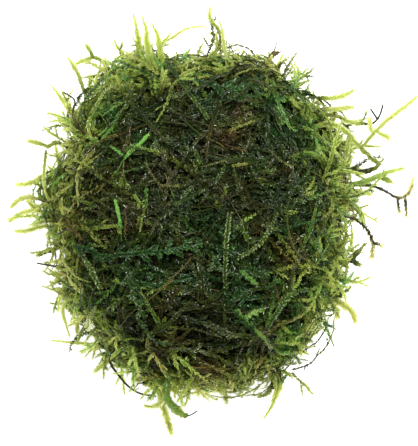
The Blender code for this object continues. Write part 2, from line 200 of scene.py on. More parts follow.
def bendLine(start, course, side, length, curl, droop, wander, draw):
    # A free line that heads off along course, curls sideways and droops. side is its leaves' upper face
    count = max(2, round(length / shoot["step"]))
    step = length / count
    points, ups = [start.copy()], [side.copy()]
    for _ in range(count):
        across = course.cross(side).normalized()
        turn = across * (curl * step + draw.gauss(0, wander)) + side * draw.gauss(0, wander)
        course = (course + turn - up * droop * step).normalized()
        start = start + course * step
        start.z = max(start.z, shoot["lowest"])
        side = (side - course * side.dot(course)).normalized()
        points.append(start.copy())
        ups.append(side.copy())
    return points, ups


def walkOnClump(start, course, length, depths, curl, wander, draw, arch=0.0):
    # A line that follows the clump's surface at a depth that changes from root to tip, and arches out of it
    count = max(2, round(length / shoot["step"]))
    step = length / count
    points, ups = [], []
    roll = draw.gauss(0, shoot["roll"])
    for k in range(count + 1):
        place, normal, *_ = clumpTree.find_nearest(start)
        depth = depths[0] + (depths[1] - depths[0]) * k / count - arch * math.sin(math.pi * k / count)
        point = place - normal * depth
        point.z = max(point.z, shoot["lowest"])
        points.append(point)
        course = (course - normal * course.dot(normal)).normalized()
        ups.append(Quaternion(course, roll) @ normal)
        course = Quaternion(normal, curl * step + draw.gauss(0, wander)) @ course
        start = place + course * step
    return points, ups


def addTwigs(lines, points, ups, look, tone, age, draw):
    # To the left and to the right by turns
    step = (points[1] - points[0]).length
    place = draw.uniform(*look["twigGap"])
    hand = draw.choice((-1, 1))
    total = (len(points) - 1) * step
    while place < total - twig["bareTip"]:
        k = min(int(place / step), len(points) - 2)
        along = (points[k + 1] - points[k]).normalized()
        side = ups[k]
        across = along.cross(side).normalized() * hand
        angle = math.radians(draw.uniform(*twig["angle"]))
        course = along * math.cos(angle) + across * math.sin(angle) + side * draw.gauss(0, twig["lean"])
        length = draw.uniform(*look["twigLength"]) * (1 - twig["taper"] * place / total)
        curl = -twig["curl"] * hand
        route = bendLine(
            points[k], course.normalized(), side, length, curl, twig["droop"], twig["wander"], draw,
        )
        own = tone + draw.gauss(0, twig["tone"])
        addPatched(lines, *route, own, age, twig["girth"], look["leaf"] * twig["leaf"], look["rimGain"])
        hand = -hand
        place += draw.uniform(*look["twigGap"])


# The clump is dark in its middle and pale at its edge in plan: greener and younger shoots at the edge with
# painted backlight, and painted shade in the middle
edge = {
    "start": 0.75,  # share of the reach
    "width": 0.30,
    "tone": 0.63,  # of the edge itself, which takes over by toneShare
    "toneShare": 0.68,
    "outward": (  # mm that the pale edge lies further out, every 15 degrees
        0.5, 2.5, 1.5, 2.0, 5.5, 5.5, 3.5, 2.5, 1.0, 0.8, 0.0, 0.0,
        1.5, -1.0, 2.0, 0.0, 1.0, 3.5, 2.5, 3.0, 2.0, 1.5, 2.5, 1.0,
    ),
    "fringe": (  # mm that shoots stick out, every 15 degrees
        6.5, 8.5, 8.5, 6.0, 4.5, 5.5, 8.5, 9.5, 6.0, 5.0, 6.0, 5.0,
        7.5, 3.5, 4.0, 9.5, 4.0, 5.0, 4.5, 2.5, 4.0, 1.0, 6.5, 7.0,
    ),
    "ageShift": 0.03,  # darker by this for each mm of outward
    "body": (  # mm that the wall's shoots lie further out, every 15 degrees
        -5.5, -1.5, 0.0, 0.6, 5.5, 3.0, 2.2, 1.2, -2.0, -3.0, -0.8, -3.2,
        1.0, -1.2, -3.2, -2.5, 1.8, 4.0, -2.5, -6.0, 5.0, -4.0, -1.3, -5.0,
    ),
    "bodyShare": 1.3,  # the tangle follows that by this much
    "thinning": 2.3,  # mm that the wall's tangle lies further in everywhere
    "sparser": 0.42,  # share of the tangle's shoots that are left out on the wall
    "bareEnd": 0.85,  # bare stems of the tangle stop where it is this pale
    "crownShade": 0.08,  # darker by this at the middle: painted shade
    "crownReach": 28.0,  # mm from there to where that ends
}


def offset(point):
    return point.x - clump["centre"][0], point.y - clump["centre"][1]


def readRound(table, point):
    # A value of a table that runs round the clump
    x, y = offset(point)
    place = math.atan2(y, x) / math.tau * len(table)
    k = math.floor(place)
    low, high = (table[(k + i) % len(table)] for i in (0, 1))
    return low + (high - low) * (place - k)


def rimShare(point):
    # 0 in the dark middle, 1 where the edge is fully pale
    x, y = offset(point)
    share = (math.hypot(x, y) - readRound(edge["outward"], point)) / reachAt(math.atan2(y, x))
    t = min(max((share - edge["start"]) / edge["width"], 0), 1)
    return t * t * (3 - 2 * t)


drift = {
    "middle": 0.55,  # the tone round which it drifts
    "tone": (8, 0.34, (3.1, 7.7, 1.9)),  # mm from hue to hue, how much, and where in the noise
    "age": (6, 0.10, (8.2, 0.3, 5.5)),
    "patchShare": 0.85,  # how far a patch has its own tone at its middle
    "limits": (0.02, 0.98),
}
# Where the tangle's colour changes: x, y, radius in mm, the tone there and how much lighter it is
patches = (
    (-24.5, 27.0, 5.0, 0.84, 0.16), (19.0, 31.0, 6.0, 0.74, -0.04), (14.1, 31.9, 4.5, 0.72, 0.02),
    (25.2, 17.8, 4.0, 0.7, 0.13), (25.6, 3.8, 4.5, 0.74, 0.17), (25.4, -3.6, 4.5, 0.76, 0.18),
    (21.5, -17.0, 5.5, 0.68, 0.11), (17.6, 7.4, 5.0, 0.62, -0.18), (-10.0, 24.5, 6.0, 0.4, -0.07),
    (3.4, 19.4, 3.0, 0.16, 0.08), (7.1, 24.4, 3.0, 0.42, 0.08), (-16.6, 18.1, 4.0, 0.82, 0.06),
    (-17.5, 1.5, 5.0, 0.2, -0.08), (-24.9, -3.4, 2.4, 0.04, 0.07), (-33.6, -0.6, 3.2, 0.13, 0.2),
    (-27.9, 6.9, 5.5, 0.34, -0.03), (-11.5, 11.6, 6.0, 0.4, -0.1), (-22.9, -8.9, 5.5, 0.8, -0.03),
    (-15.4, -9.9, 5.0, 0.82, -0.02), (3.4, -8.1, 5.5, 0.74, 0.02), (7.1, -16.9, 5.5, 0.84, 0.02),
    (9.6, -22.4, 3.5, 0.86, 0.08), (12.1, -11.9, 4.5, 0.78, 0.0), (0.9, -23.9, 5.0, 0.5, -0.14),
    (-6.6, -21.9, 3.5, 0.5, -0.08), (-1.5, -31.0, 7.0, 0.46, 0.15), (-14.5, -35.5, 6.0, 0.5, 0.17),
    (-22.0, -23.6, 3.5, 0.6, 0.04), (7.1, -37.4, 2.5, 0.6, 0.08), (19.6, -28.1, 3.5, 0.8, 0.12),
    (-30.4, -19.4, 5.0, 0.7, 0.09), (-0.4, -35.6, 3.0, 0.12, 0.08), (21.0, -22.6, 4.0, 0.54, 0.12),
    (8.4, 40.0, 5.0, 0.4, -0.06), (15.5, 37.5, 3.5, 0.34, -0.04), (18.0, -7.5, 4.0, 0.34, 0.04),
    (4.6, 9.6, 6.5, 0.5, -0.13), (-30.6, 19.6, 4.0, 0.46, -0.05), (30.5, 1.0, 6.0, 0.52, -0.03),
    (32.5, 12.0, 4.0, 0.48, -0.12), (-31.0, -9.0, 5.0, 0.5, 0.05), (-31.0, 9.0, 4.5, 0.5, 0.05),
    (-9.0, -40.5, 3.5, 0.56, 0.2), (1.5, -41.0, 3.0, 0.56, 0.2), (-3.5, 40.5, 5.0, 0.56, 0.04),
    (10.5, 40.8, 2.5, 0.52, 0.08), (-26.0, 3.0, 10.0, 0.5, 0.06), (-23.0, -14.0, 8.0, 0.6, 0.06),
    (-38.5, -8.0, 3.5, 0.34, 0.02),
)


def drifting(point, width, amount, place):
    return noise.noise(point / width + Vector(place)) * amount


def coloursAt(point):
    # Drifting brown, olive and green, darker at the middle with painted shade, and then the patches
    tone = drift["middle"] + drifting(point, *drift["tone"])
    age = drifting(point, *drift["age"])
    age -= edge["crownShade"] * max(0, 1 - math.hypot(*offset(point)) / edge["crownReach"])
    tone += (edge["tone"] - tone) * edge["toneShare"] * rimShare(point)
    for x, y, radius, patchTone, patchLift in patches:
        near = math.exp(-((point.x - x) ** 2 + (point.y - y) ** 2) / radius**2)
        share = near * drift["patchShare"]
        tone += (patchTone - tone) * share
        age += patchLift * share
    return tone, age


def kept(value):
    low, high = drift["limits"]
    return min(max(value, low), high)


def addPatched(lines, points, ups, tone, age, girth, leaf, rimGain):
    # A shoot's own tone and age are added to those of the place it runs through, and it gets paler at the
    # pale edge: partly younger growth, partly painted backlight
    found = [coloursAt(point) for point in points]
    tones = [kept(tone + place[0]) for place in found]
    own = agesAndShade(len(points), *age)
    agesAndLight = [kept(own[k] + found[k][1] + rimShare(points[k]) * rimGain) for k in range(len(points))]
    lines.add(points, ups, tone=tones, girth=girth, age=agesAndLight, leaf=leafSizes(len(points), leaf))


def addLeafy(lines, points, ups, look, tone, age, draw):
    addPatched(lines, points, ups, tone, age, shoot["girth"], look["leaf"], look["rimGain"])
    addTwigs(lines, points, ups, look, tone, age, draw)


plainLeaves = {"kind": "plain", "roll": 0.75, "sides": 3}
inner = {  # what the tangle's layers share, where they don't say otherwise
    **plainLeaves,
    "leaf": 1.15,  # mm long
    "angle": 0.68,  # radians between a leaf and its stem
    "along": 0.6,  # how strongly a leaf's colour changes from its root to its tip, with painted shade at the root and a painted highlight at the tip
    "twigGap": (2.4, 4.4),
    "twigLength": (2.5, 6.0),
}
# From the deepest on, with lower ages the deeper they lie, which is painted shade. depth is at the root and
# at the tip, gap is from leaf to leaf, and shoots are
# paler at the pale edge by the rim gain: partly younger growth, partly painted backlight
tangle = {
    "deepShoots": {
        **inner, "seed": 11, "count": 340, "length": (12, 24), "depth": (5.4, 3.4), "gap": 0.40,
        "age": (0.00, 0.07), "bareShare": 0.10, "rimGain": 0.62,
    },
    "lowerShoots": {
        **inner, "seed": 12, "count": 480, "length": (12, 24), "depth": (4.2, 2.0), "gap": 0.38,
        "age": (0.00, 0.13), "bareShare": 0.12, "rimGain": 0.56,
    },
    "middleShoots": {
        **inner, "seed": 13, "count": 480, "length": (11, 24), "depth": (3.0, 0.8), "gap": 0.36,
        "age": (0.04, 0.19), "bareShare": 0.14, "rimGain": 0.46,
    },
    "upperShoots": {
        **inner, "seed": 14, "count": 450, "length": (12, 26), "depth": (2.0, 0.0), "gap": 0.34,
        "age": (0.05, 0.25), "bareShare": 0.18, "rimGain": 0.46, "angle": 0.58,
        "twigGap": (2.8, 5.0), "twigLength": (2.0, 5.5),
    },
    "topShoots": {
        **inner, "seed": 15, "count": 380, "length": (10, 26), "depth": (1.4, -1.8), "gap": 0.32,
        "age": (0.07, 0.30), "bareShare": 0.22, "rimGain": 0.46, "angle": 0.56, "leaf": 1.10,
        "twigGap": (2.8, 5.0), "twigLength": (2.0, 5.0),
    },
}
scatter = {  # how far the tangle's shoots differ from one another
    "leftOutBelow": 0.75,  # share of those under the foot
    "depth": 0.5,  # mm
    "curl": 0.03,
    "wander": 0.10,
    "tone": 0.10,
    "bright": 0.42,  # how much younger the brightest is
    "brightPower": 4,  # and few are
    "bareTone": (-0.4, 0.0),
    "bareAge": (0.05, 0.5),
}


def randomDirection(draw):
    z = draw.uniform(-1, 1)
    angle = draw.uniform(0, math.tau)
    flat = math.sqrt(1 - z * z)
    return Vector((flat * math.cos(angle), flat * math.sin(angle), z))


def tangleLines(look):
    draw, lines = random.Random(look["seed"]), Lines()
    count = look["count"]
    while count > 0:
        root = clumpPoint(randomDirection(draw))
        if root.z == 0 and draw.random() < scatter["leftOutBelow"]:
            continue
        normal = clumpTree.find_nearest(root)[1]
        upright = 1 - abs(normal.z)
        if draw.random() < edge["sparser"] * upright:
            continue
        count -= 1
        course = normal.cross(randomDirection(draw)).normalized()
        length = draw.uniform(*look["length"])
        further = (readRound(edge["body"], root) * edge["bodyShare"] - edge["thinning"]) * upright
        depths = [depth - further + draw.gauss(0, scatter["depth"]) for depth in look["depth"]]
        curl = draw.gauss(0, scatter["curl"])
        points, ups = walkOnClump(root, course, length, depths, curl, scatter["wander"], draw)
        tone = draw.gauss(0, scatter["tone"])
        bright = draw.random() ** scatter["brightPower"] * scatter["bright"]
        if draw.random() < look["bareShare"] * (1 - rimShare(root)):
            tone, age = draw.uniform(*scatter["bareTone"]), [draw.uniform(*scatter["bareAge"])] * 2
            dark = [rimShare(point) < edge["bareEnd"] for point in points]
            end = len(points) if all(dark) else dark.index(False)
            if end > 1:
                addPatched(lines, points[:end], ups[:end], tone, age, shoot["bareGirth"], 0, 0)
        else:
            addLeafy(lines, points, ups, look, tone, [value + bright for value in look["age"]], draw)
    return lines


fringed = {**plainLeaves, "gap": 0.27, "angle": 0.50, "along": 1.0, "twigGap": (3.5, 7.0), "rimGain": 0}
# Their high ages make them pale: partly young growth, partly painted backlight
rim = {
    "rimShoots": {  # these run round the wall and arch away from it
        **fringed, "seed": 16, "count": 380, "length": (8, 20), "depth": (2.3, 1.1), "arch": (0.05, 0.62),
        "age": (0.46, 0.90), "leaf": 0.95, "twigLength": (2.0, 6.0), "thinned": -0.20, "bareShare": 0.0,
        "wander": 0.20,
    },
    "strayShoots": {  # and these stick out of it
        **fringed, "seed": 17, "count": 780, "rootDepth": 2.3, "age": (0.52, 0.97), "leaf": 1.12,
        "twigLength": (2.0, 5.0), "thinned": 0.02, "bareShare": 0.06, "wander": 0.08,
    },
}
wall = {  # what both have in common, and where they differ
    "heights": (2.0, 25.0),  # mm, where its shoots have their roots
    "gapWidth": 4,  # mm, about as wide as the gaps between their roots
    "tone": 0.10,  # how far they differ from one another
    "age": 0.16,
    "oldest": -0.15,  # and no more than that to the old side
    "climb": 0.35,  # of those that run round it
    "depth": 0.8,
    "curl": 0.04,
    "outward": (0.3, 1),  # of those that stick out of it
    "sideways": (0.1, 1.2),
    "lift": 0.2,
    "twist": 0.6,
    "shortest": 2.8,  # mm, and they are longer by a share of the fringe
    "longer": (0.22, 1.70),  # at the least, and how much more at the most
    "strayCurl": 0.13,
    "droop": 0.012,
    "bareLength": 0.7,
    "bareTone": (-0.40, -0.1),
    "bareAge": (0.18, 0.45),
}


def roundWall(look, root, around, body, fringe, draw):
    course = (around + up * draw.gauss(0, wall["climb"])).normalized()
    length = draw.uniform(*look["length"])
    depths = [depth - body + draw.gauss(0, wall["depth"]) for depth in look["depth"]]
    arch, curl = fringe * draw.uniform(*look["arch"]), draw.gauss(0, wall["curl"])
    return walkOnClump(root, course, length, depths, curl, look["wander"], draw, arch)


def outOfWall(look, root, normal, outward, around, body, fringe, isBare, draw):
    course = outward * draw.uniform(*wall["outward"]) + around * draw.uniform(*wall["sideways"])
    course += up * draw.gauss(0, wall["lift"])
    side = (up + randomDirection(draw) * wall["twist"]).normalized()
    side = (side - course * side.dot(course)).normalized()
    least, more = wall["longer"]
    length = wall["shortest"] + fringe * (least + more * draw.random() ** 2)
    length *= wall["bareLength"] if isBare else 1
    start, curl = root - normal * (look["rootDepth"] - body), draw.gauss(0, wall["strayCurl"])
    return bendLine(start, course.normalized(), side, length, curl, wall["droop"], look["wander"], draw)


def rimLines(look):
    draw, lines = random.Random(look["seed"]), Lines()
    count = look["count"]
    low, high = wall["heights"]
    while count > 0:
        root = clumpPoint(randomDirection(draw))
        if not low < root.z < high or noise.noise(root / wall["gapWidth"]) < look["thinned"]:
            continue
        count -= 1
        normal = clumpTree.find_nearest(root)[1]
        outward = Vector((normal.x, normal.y, 0)).normalized()
        around = up.cross(outward) * draw.choice((-1, 1))
        fringe = readRound(edge["fringe"], root)
        body = readRound(edge["body"], root) * (1 - abs(normal.z))
        isBare = draw.random() < look["bareShare"]
        if "arch" in look:
            route = roundWall(look, root, around, body, fringe, draw)
        else:
            route = outOfWall(look, root, normal, outward, around, body, fringe, isBare, draw)
        if isBare:
            tone, age = draw.uniform(*wall["bareTone"]), [draw.uniform(*wall["bareAge"])] * 2
            addPatched(lines, *route, tone, age, shoot["bareGirth"], 0, 0)
        else:
            own = max(draw.gauss(0, wall["age"]), wall["oldest"])
            darkening = readRound(edge["outward"], root) * edge["ageShift"]
            tone = draw.gauss(0, wall["tone"])
            addLeafy(lines, *route, look, tone, [age + own - darkening for age in look["age"]], draw)
    return lines


# The leaf that the geometry nodes put on the lines
leafForm = {
    "width": 0.50,  # beside its length
    "widest": 0.42,  # share of its length
    "fold": 0.24,
    "curl": 0.20,
    "bend": 0.45,  # where the fine one's midrib bends
    "shoulders": ((0.30, 1.0, 1.0), (0.72, 0.85, 0.4)),  # its sides' corners: place, width and fold
    "angles": (0.7, 1.25),  # how far a shoot's leaves differ
    "sizes": (0.8, 1.15),
    "smallest": 0.00005,  # m, and none below that
}


def leafPattern(name, fine):
    # A leaf one metre long along +Y, folded along its midrib. The fine one has a rounder outline
    half, widest, fold = leafForm["width"] / 2, leafForm["widest"], leafForm["fold"]
    root, tip = (0, 0, 0), (0, 1, -leafForm["curl"])
    corners = [root, (half, widest, fold), tip, (-half, widest, fold)]
    faces = [(0, 1, 2), (0, 2, 3)]
    if fine:
        corners = [root, (0, leafForm["bend"], 0), tip]
        for side in (half, -half):
            corners += [(side * wide, place, fold * lift) for place, wide, lift in leafForm["shoulders"]]
        faces = [(0, 3, 1), (3, 4, 1), (4, 2, 1), (0, 1, 5), (5, 1, 6), (6, 1, 2)]
    mesh = bpy.data.meshes.new(name)
    mesh.from_pydata(corners, [], faces)
    mesh.shade_smooth()
    mesh.attributes.new("leafAlong", "FLOAT", "POINT").data.foreach_set("value", [c[1] for c in corners])
    return addPiece(name, mesh)


def addPiece(name, mesh):
    obj = bpy.data.objects.new(name, mesh)
    bpy.context.scene.collection.objects.link(obj)
    return obj


def setStops(elements, stops):
    while len(elements) < len(stops):
        elements.new(0.5)
    for element, (place, colour) in zip(elements, stops):
        element.position = place
        element.color = (*colour, 1)


class Nodes:
    # Adds nodes to a tree. Settings come first, and a socket is given by its name or its number
    def __init__(self, tree):
        self.tree = tree

    def add(self, kind, settings=None, sockets=None):
        node = self.tree.nodes.new(kind)
        for name, value in (settings or {}).items():
            if name == "stops":
                setStops(node.color_ramp.elements, value)
            else:
                setattr(node, name, value)
        for key, value in (sockets or {}).items():
            value = value.socket if isinstance(value, Flow) else value
            if isinstance(value, bpy.types.NodeSocket):
                self.tree.links.new(value, node.inputs[key])
            else:
                node.inputs[key].default_value = value
        return node


class Growth(Nodes):
    # The same for geometry, where a new node's output is what counts
    def get(self, kind, settings=None, sockets=None, output=0):
        return self.add(kind, settings, sockets).outputs[output]

    def value(self, name, kind="FLOAT"):
        return self.get("GeometryNodeInputNamedAttribute", {"data_type": kind}, {"Name": name})

    def math(self, operation, *values):
        return self.get("ShaderNodeMath", {"operation": operation}, dict(enumerate(values)))

    def random(self, low, high, seed):
        sockets = {2: low, 3: high, "Seed": seed}
        return self.get("FunctionNodeRandomValue", {"data_type": "FLOAT"}, sockets, 1)

    def turned(self, rotation, axis, angle):
        turn = self.get("FunctionNodeAxisAngleToRotation", None, {"Axis": axis, "Angle": angle})
        return self.get("FunctionNodeRotateRotation", {"rotation_space": "LOCAL"}, {0: rotation, 1: turn})


def geometryInput(tree, name, kind, value=None):
    socket = tree.interface.new_socket(name=name, in_out="INPUT", socket_type="NodeSocket" + kind)
    if value is not None:
        socket.default_value = value
    return socket.identifier


def leafyShootTree():
    # Dresses lines with a stem and leaves
    tree = bpy.data.node_groups.new("leafyShoot", "GeometryNodeTree")
    inputs = {
        "Lines": ("Geometry",), "Leaf": ("Object",), "Leaf Gap": ("Float", 0.0003),
        "Leaf Angle": ("Float", 0.75), "Leaf Roll": ("Float", 0.45), "Stem Sides": ("Int", 3),
        "Finish": ("Material",), "Seed": ("Int", 1),
    }
    sockets = {name: geometryInput(tree, name, *given) for name, given in inputs.items()}
    tree.interface.new_socket(name="Shoots", in_out="OUTPUT", socket_type="NodeSocketGeometry")
    grow = Growth(tree)
    given = tree.nodes.new("NodeGroupInput").outputs
    curves = grow.get("GeometryNodeMeshToCurve", None, {"Mesh": given["Lines"]})
    # Stems
    ring = {"Resolution": given["Stem Sides"], "Radius": 1.0}
    stem = grow.get(
        "GeometryNodeCurveToMesh", None,
        {
            "Curve": curves, "Profile Curve": grow.get("GeometryNodeCurvePrimitiveCircle", None, ring),
            "Scale": grow.value("girth"), "Fill Caps": True,
        },
    )
    stem = grow.get("GeometryNodeSetShadeSmooth", None, {"Geometry": stem})
    # Leaves, one at a time to the left and to the right
    spaced = {"Curve": curves, "Length": given["Leaf Gap"]}
    points = grow.get("GeometryNodeResampleCurve", {"mode": "LENGTH"}, spaced)
    facing = grow.get(
        "FunctionNodeAxesToRotation", {"primary_axis": "Y", "secondary_axis": "Z"},
        {0: grow.get("GeometryNodeInputTangent"), 1: grow.value("up", "FLOAT_VECTOR")},
    )
    index = grow.get("GeometryNodeInputIndex")
    hand = grow.math("SUBTRACT", grow.math("MULTIPLY", grow.math("MODULO", index, 2.0), 2.0), 1.0)
    seeds = [given["Seed"]] + [grow.math("ADD", given["Seed"], more) for more in (1.0, 2.0, 3.0)]
    roll = grow.math("MULTIPLY", given["Leaf Roll"], grow.random(-1.0, 1.0, seeds[0]))
    angle = grow.math("MULTIPLY", given["Leaf Angle"], grow.random(*leafForm["angles"], seeds[1]))
    rolled = grow.turned(facing, (0, 1, 0), roll)
    spread = grow.turned(rolled, (0, 0, 1), grow.math("MULTIPLY", angle, hand))
    size = grow.math("MULTIPLY", grow.value("leaf"), grow.random(*leafForm["sizes"], seeds[2]))
    leaf = grow.add("GeometryNodeObjectInfo", None, {"Object": given["Leaf"], "As Instance": True})
    has = grow.get(
        "FunctionNodeCompare", {"data_type": "FLOAT", "operation": "GREATER_THAN"},
        {0: grow.value("leaf"), 1: leafForm["smallest"]},
    )
    leaves = grow.get(
        "GeometryNodeInstanceOnPoints", None,
        {
            "Points": points, "Selection": has, "Instance": leaf.outputs["Geometry"],
            "Rotation": spread, "Scale": size,
        },
    )
    leaves = grow.get(
        "GeometryNodeStoreNamedAttribute", {"data_type": "FLOAT", "domain": "INSTANCE"},
        {"Geometry": leaves, "Name": "jitter", "Value": grow.random(-1.0, 1.0, seeds[3])},
    )
    whole = tree.nodes.new("GeometryNodeJoinGeometry")
    tree.links.new(leaves, whole.inputs[0])
    tree.links.new(stem, whole.inputs[0])
    real = grow.get("GeometryNodeRealizeInstances", None, {"Geometry": whole.outputs[0]})
    done = grow.get("GeometryNodeSetMaterial", None, {"Geometry": real, "Material": given["Finish"]})
    tree.links.new(done, tree.nodes.new("NodeGroupOutput").inputs[0])
    return tree, sockets


# Materials. A Flow is a value in a material, and sums on it add Math nodes
class Flow:
    def __init__(self, paint, socket):
        self.paint, self.socket = paint, socket

    def math(self, operation, *values):
        return self.paint.flow("ShaderNodeMath", {"operation": operation}, dict(enumerate(values)))

    def __add__(self, other):
        return self.math("ADD", self, other)

    def __radd__(self, other):
        return self.math("ADD", other, self)

    def __sub__(self, other):
        return self.math("SUBTRACT", self, other)

    def __rsub__(self, other):
        return self.math("SUBTRACT", other, self)

    def __mul__(self, other):
        return self.math("MULTIPLY", self, other)

    def __rmul__(self, other):
        return self.math("MULTIPLY", other, self)

    def within(self, low, high):
        return self.paint.flow("ShaderNodeMapRange", None, {"Value": self, 1: low, 2: high})


class Paint(Nodes):
    def __init__(self, name):
        self.material = bpy.data.materials.new(name)
        self.material.use_nodes = True
        super().__init__(self.material.node_tree)
        self.tree.nodes.clear()

    def flow(self, kind, settings=None, sockets=None, output=0):
        return Flow(self, self.add(kind, settings, sockets).outputs[output])

    def attribute(self, name):
        return self.flow("ShaderNodeAttribute", {"attribute_name": name}, output="Fac")

    def ramp(self, value, colours):
        stops = [(k / (len(colours) - 1), colour) for k, colour in enumerate(colours)]
        return self.flow("ShaderNodeValToRGB", {"stops": stops}, {0: value})

    def mix(self, share, first, second):
        settings = {"data_type": "RGBA", "clamp_factor": True}
        return self.flow("ShaderNodeMix", settings, {0: share, 6: first, 7: second}, 2)

    def finish(self, shader):
        self.add("ShaderNodeOutputMaterial", None, {0: shader})
        return self.material


moss = {
    # By age from the shade to young, and by tone: brown, rust, olive, green, deep green, bright green
    "shade": (
        (0.010, 0.006, 0.004), (0.014, 0.010, 0.0035), (0.012, 0.0135, 0.0035),
        (0.0085, 0.0135, 0.003), (0.005, 0.013, 0.0035), (0.006, 0.024, 0.006),
    ),
    "old": (
        (0.055, 0.028, 0.012), (0.062, 0.044, 0.012), (0.050, 0.057, 0.008),
        (0.036, 0.062, 0.007), (0.018, 0.056, 0.009), (0.026, 0.110, 0.010),
    ),
    "mature": (
        (0.30, 0.17, 0.06), (0.36, 0.27, 0.06), (0.34, 0.37, 0.07),
        (0.25, 0.38, 0.05), (0.11, 0.32, 0.07), (0.16, 0.42, 0.05),
    ),
    "young": (
        (0.50, 0.30, 0.12), (0.62, 0.46, 0.12), (0.85, 0.84, 0.50),
        (0.62, 0.75, 0.20), (0.24, 0.56, 0.12), (0.36, 0.72, 0.14),
    ),
    "oldAge": 0.36,
    "matureAge": 0.70,
    "see": 0.85,  # share of the light that comes through a young leaf
    "seeAge": (0.42, 0.90),
    "through": (0.83, 0.87, 0.31),
    "clearThrough": (0.86, 0.89, 0.50),  # the same of the shoots that stand clear, which are thinner
    "rough": (0.40, 0.26),  # old and young
    "wet": 0.35,
    "wetTone": (0.12, 0.38),  # brown moss is dry
    "wetAge": (0.02, 0.16),  # and so is what lies in the shade
    "wetRough": 0.16,
    "shine": 0.10,
}


def mossMaterial(name, throughColour):
    paint = Paint(name)
    tone, age = paint.attribute("tone"), paint.attribute("age")
    stages = [paint.ramp(tone, moss[key]) for key in ("shade", "old", "mature", "young")]
    starts = (0, moss["oldAge"], moss["matureAge"], 1)
    colour = stages[0]
    for k in (1, 2, 3):
        colour = paint.mix(age.within(starts[k - 1], starts[k]), colour, stages[k])
    oldRough, youngRough = moss["rough"]
    body = paint.add(
        "ShaderNodeBsdfPrincipled", None,
        {
            "Base Color": colour, "Roughness": oldRough + age * (youngRough - oldRough),
            "Coat Weight": tone.within(*moss["wetTone"]) * age.within(*moss["wetAge"]) * moss["wet"],
            "Coat Roughness": moss["wetRough"], "Specular IOR Level": moss["shine"],
        },
    ).outputs[0]
    through = paint.add("ShaderNodeBsdfTranslucent", None, {"Color": (*throughColour, 1)}).outputs[0]
    see = age.within(*moss["seeAge"]) * moss["see"]
    return paint.finish(paint.add("ShaderNodeMixShader", None, {0: see, 1: body, 2: through}).outputs[0])


bed = {
    "depth": 5.0,  # mm under the clump's surface
    "wallDepth": 6.5,  # more than that where the surface is upright
    "bumps": 1.3,
    "bumpSpacing": 2.6,
    "bumpDetail": 3,
    "bumpMiddle": 0.9,  # the noise that leaves the surface where it is
    "foot": 1.2,  # mm above the floor
    # Darker than the shoots' own colours: painted shade for the deep gaps between them
    "dark": (0.015, 0.017, 0.007),
    "light": (0.050, 0.056, 0.020),
    "brown": (0.040, 0.026, 0.014),
    # Lighter low on the wall, towards the floor: painted light
    "low": (0.120, 0.135, 0.045),
    "lowTop": (31.0, 15.0),  # mm, where it starts and where it is full
    "lowLightShare": 0.8,
    "fine": {"Scale": 900.0, "Detail": 4.0},
    "coarse": {"Scale": 110.0, "Detail": 2.0},
    "lightFrom": (0.42, 0.72),
    "brownFrom": (0.45, 0.6),
    "rough": 0.2,  # smoother by this on its grains
    "shine": 0.1,
    "grain": {"Strength": 0.8, "Distance": 0.0006},
}


def bedMaterial():
    paint = Paint("bedMossPaintedShade")
    place = paint.add("ShaderNodeTexCoord").outputs["Object"]
    fine, coarse = (
        paint.flow("ShaderNodeTexNoise", None, {"Vector": place, **bed[key]}) for key in ("fine", "coarse")
    )
    dark, light, brown, low = ((*bed[key], 1) for key in ("dark", "light", "brown", "low"))
    height = paint.flow("ShaderNodeSeparateXYZ", None, {0: place}, 2)
    upper = paint.mix(coarse.within(*bed["brownFrom"]), light, brown)
    colour = paint.mix(fine.within(*bed["lightFrom"]), dark, upper)
    lowest, highest = (level * mm for level in bed["lowTop"])
    colour = paint.mix((1.0 - height.within(highest, lowest)) * bed["lowLightShare"], colour, low)
    body = paint.add(
        "ShaderNodeBsdfPrincipled", None,
        {
            "Base Color": colour, "Roughness": 1.0 - fine * bed["rough"], "Specular IOR Level": bed["shine"],
            "Normal": paint.flow("ShaderNodeBump", None, {"Height": fine, **bed["grain"]}),
        },
    )
    return paint.finish(body.outputs[0])


def makeBed():
    # The inner moss that closes the view between the shoots, its colour darkened into painted shade for the
    # deep gaps
    bm = clumpBm.copy()
    for vert in bm.verts:
        upright = math.sqrt(max(0, 1 - vert.normal.z**2))
        bump = noise.turbulence(vert.co / bed["bumpSpacing"], bed["bumpDetail"], False) - bed["bumpMiddle"]
        vert.co -= vert.normal * (bed["depth"] + bed["wallDepth"] * upright - bump * bed["bumps"])
        vert.co.z = max(vert.co.z, bed["foot"])
    bm.transform(Matrix.Scale(mm, 4))
    mesh = bpy.data.meshes.new("innerMoss")
    bm.to_mesh(mesh)
    bm.free()
    mesh.shade_smooth()
    mesh.materials.append(bedMaterial())
    return addPiece("innerMoss", mesh)


def standsFor(piece, slot, *nodes):
    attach(piece, "root")
    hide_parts(*nodes)


shootTree, shootSockets = leafyShootTree()
leaves = {"plain": leafPattern("plainLeaf", False), "fine": leafPattern("fineLeaf", True)}
finishes = {
    "plain": mossMaterial("tangleShoots", moss["through"]),
    "fine": mossMaterial("clearShoots", moss["clearThrough"]),
}
jitter = {
    "leafTone": 0.05, "leafAge": 0.06,  # from leaf to leaf
    "rootAge": -0.16, "tipHighlight": 0.14, "middle": 0.45,  # along each leaf: darker at its root, painted shade, and lighter at its tip, a painted highlight; stems are as its root
    "corner": 0.012, "cornerSteps": (0.618, 0.755),  # from corner to corner
    "limits": (0.005, 0.995),
    "mapStart": 0.02, "mapWidth": 0.96, "leastSpan": 0.001,
}
triangleCounts = {}


def numbers(mesh, name):
    found = np.zeros(len(mesh.vertices), np.float32)
    if name in mesh.attributes:
        mesh.attributes[name].data.foreach_get("value", found)
    return found


def onMap(found):
    share = (found - found.min()) / max(np.ptp(found), jitter["leastSpan"])
    return share * jitter["mapWidth"] + jitter["mapStart"]


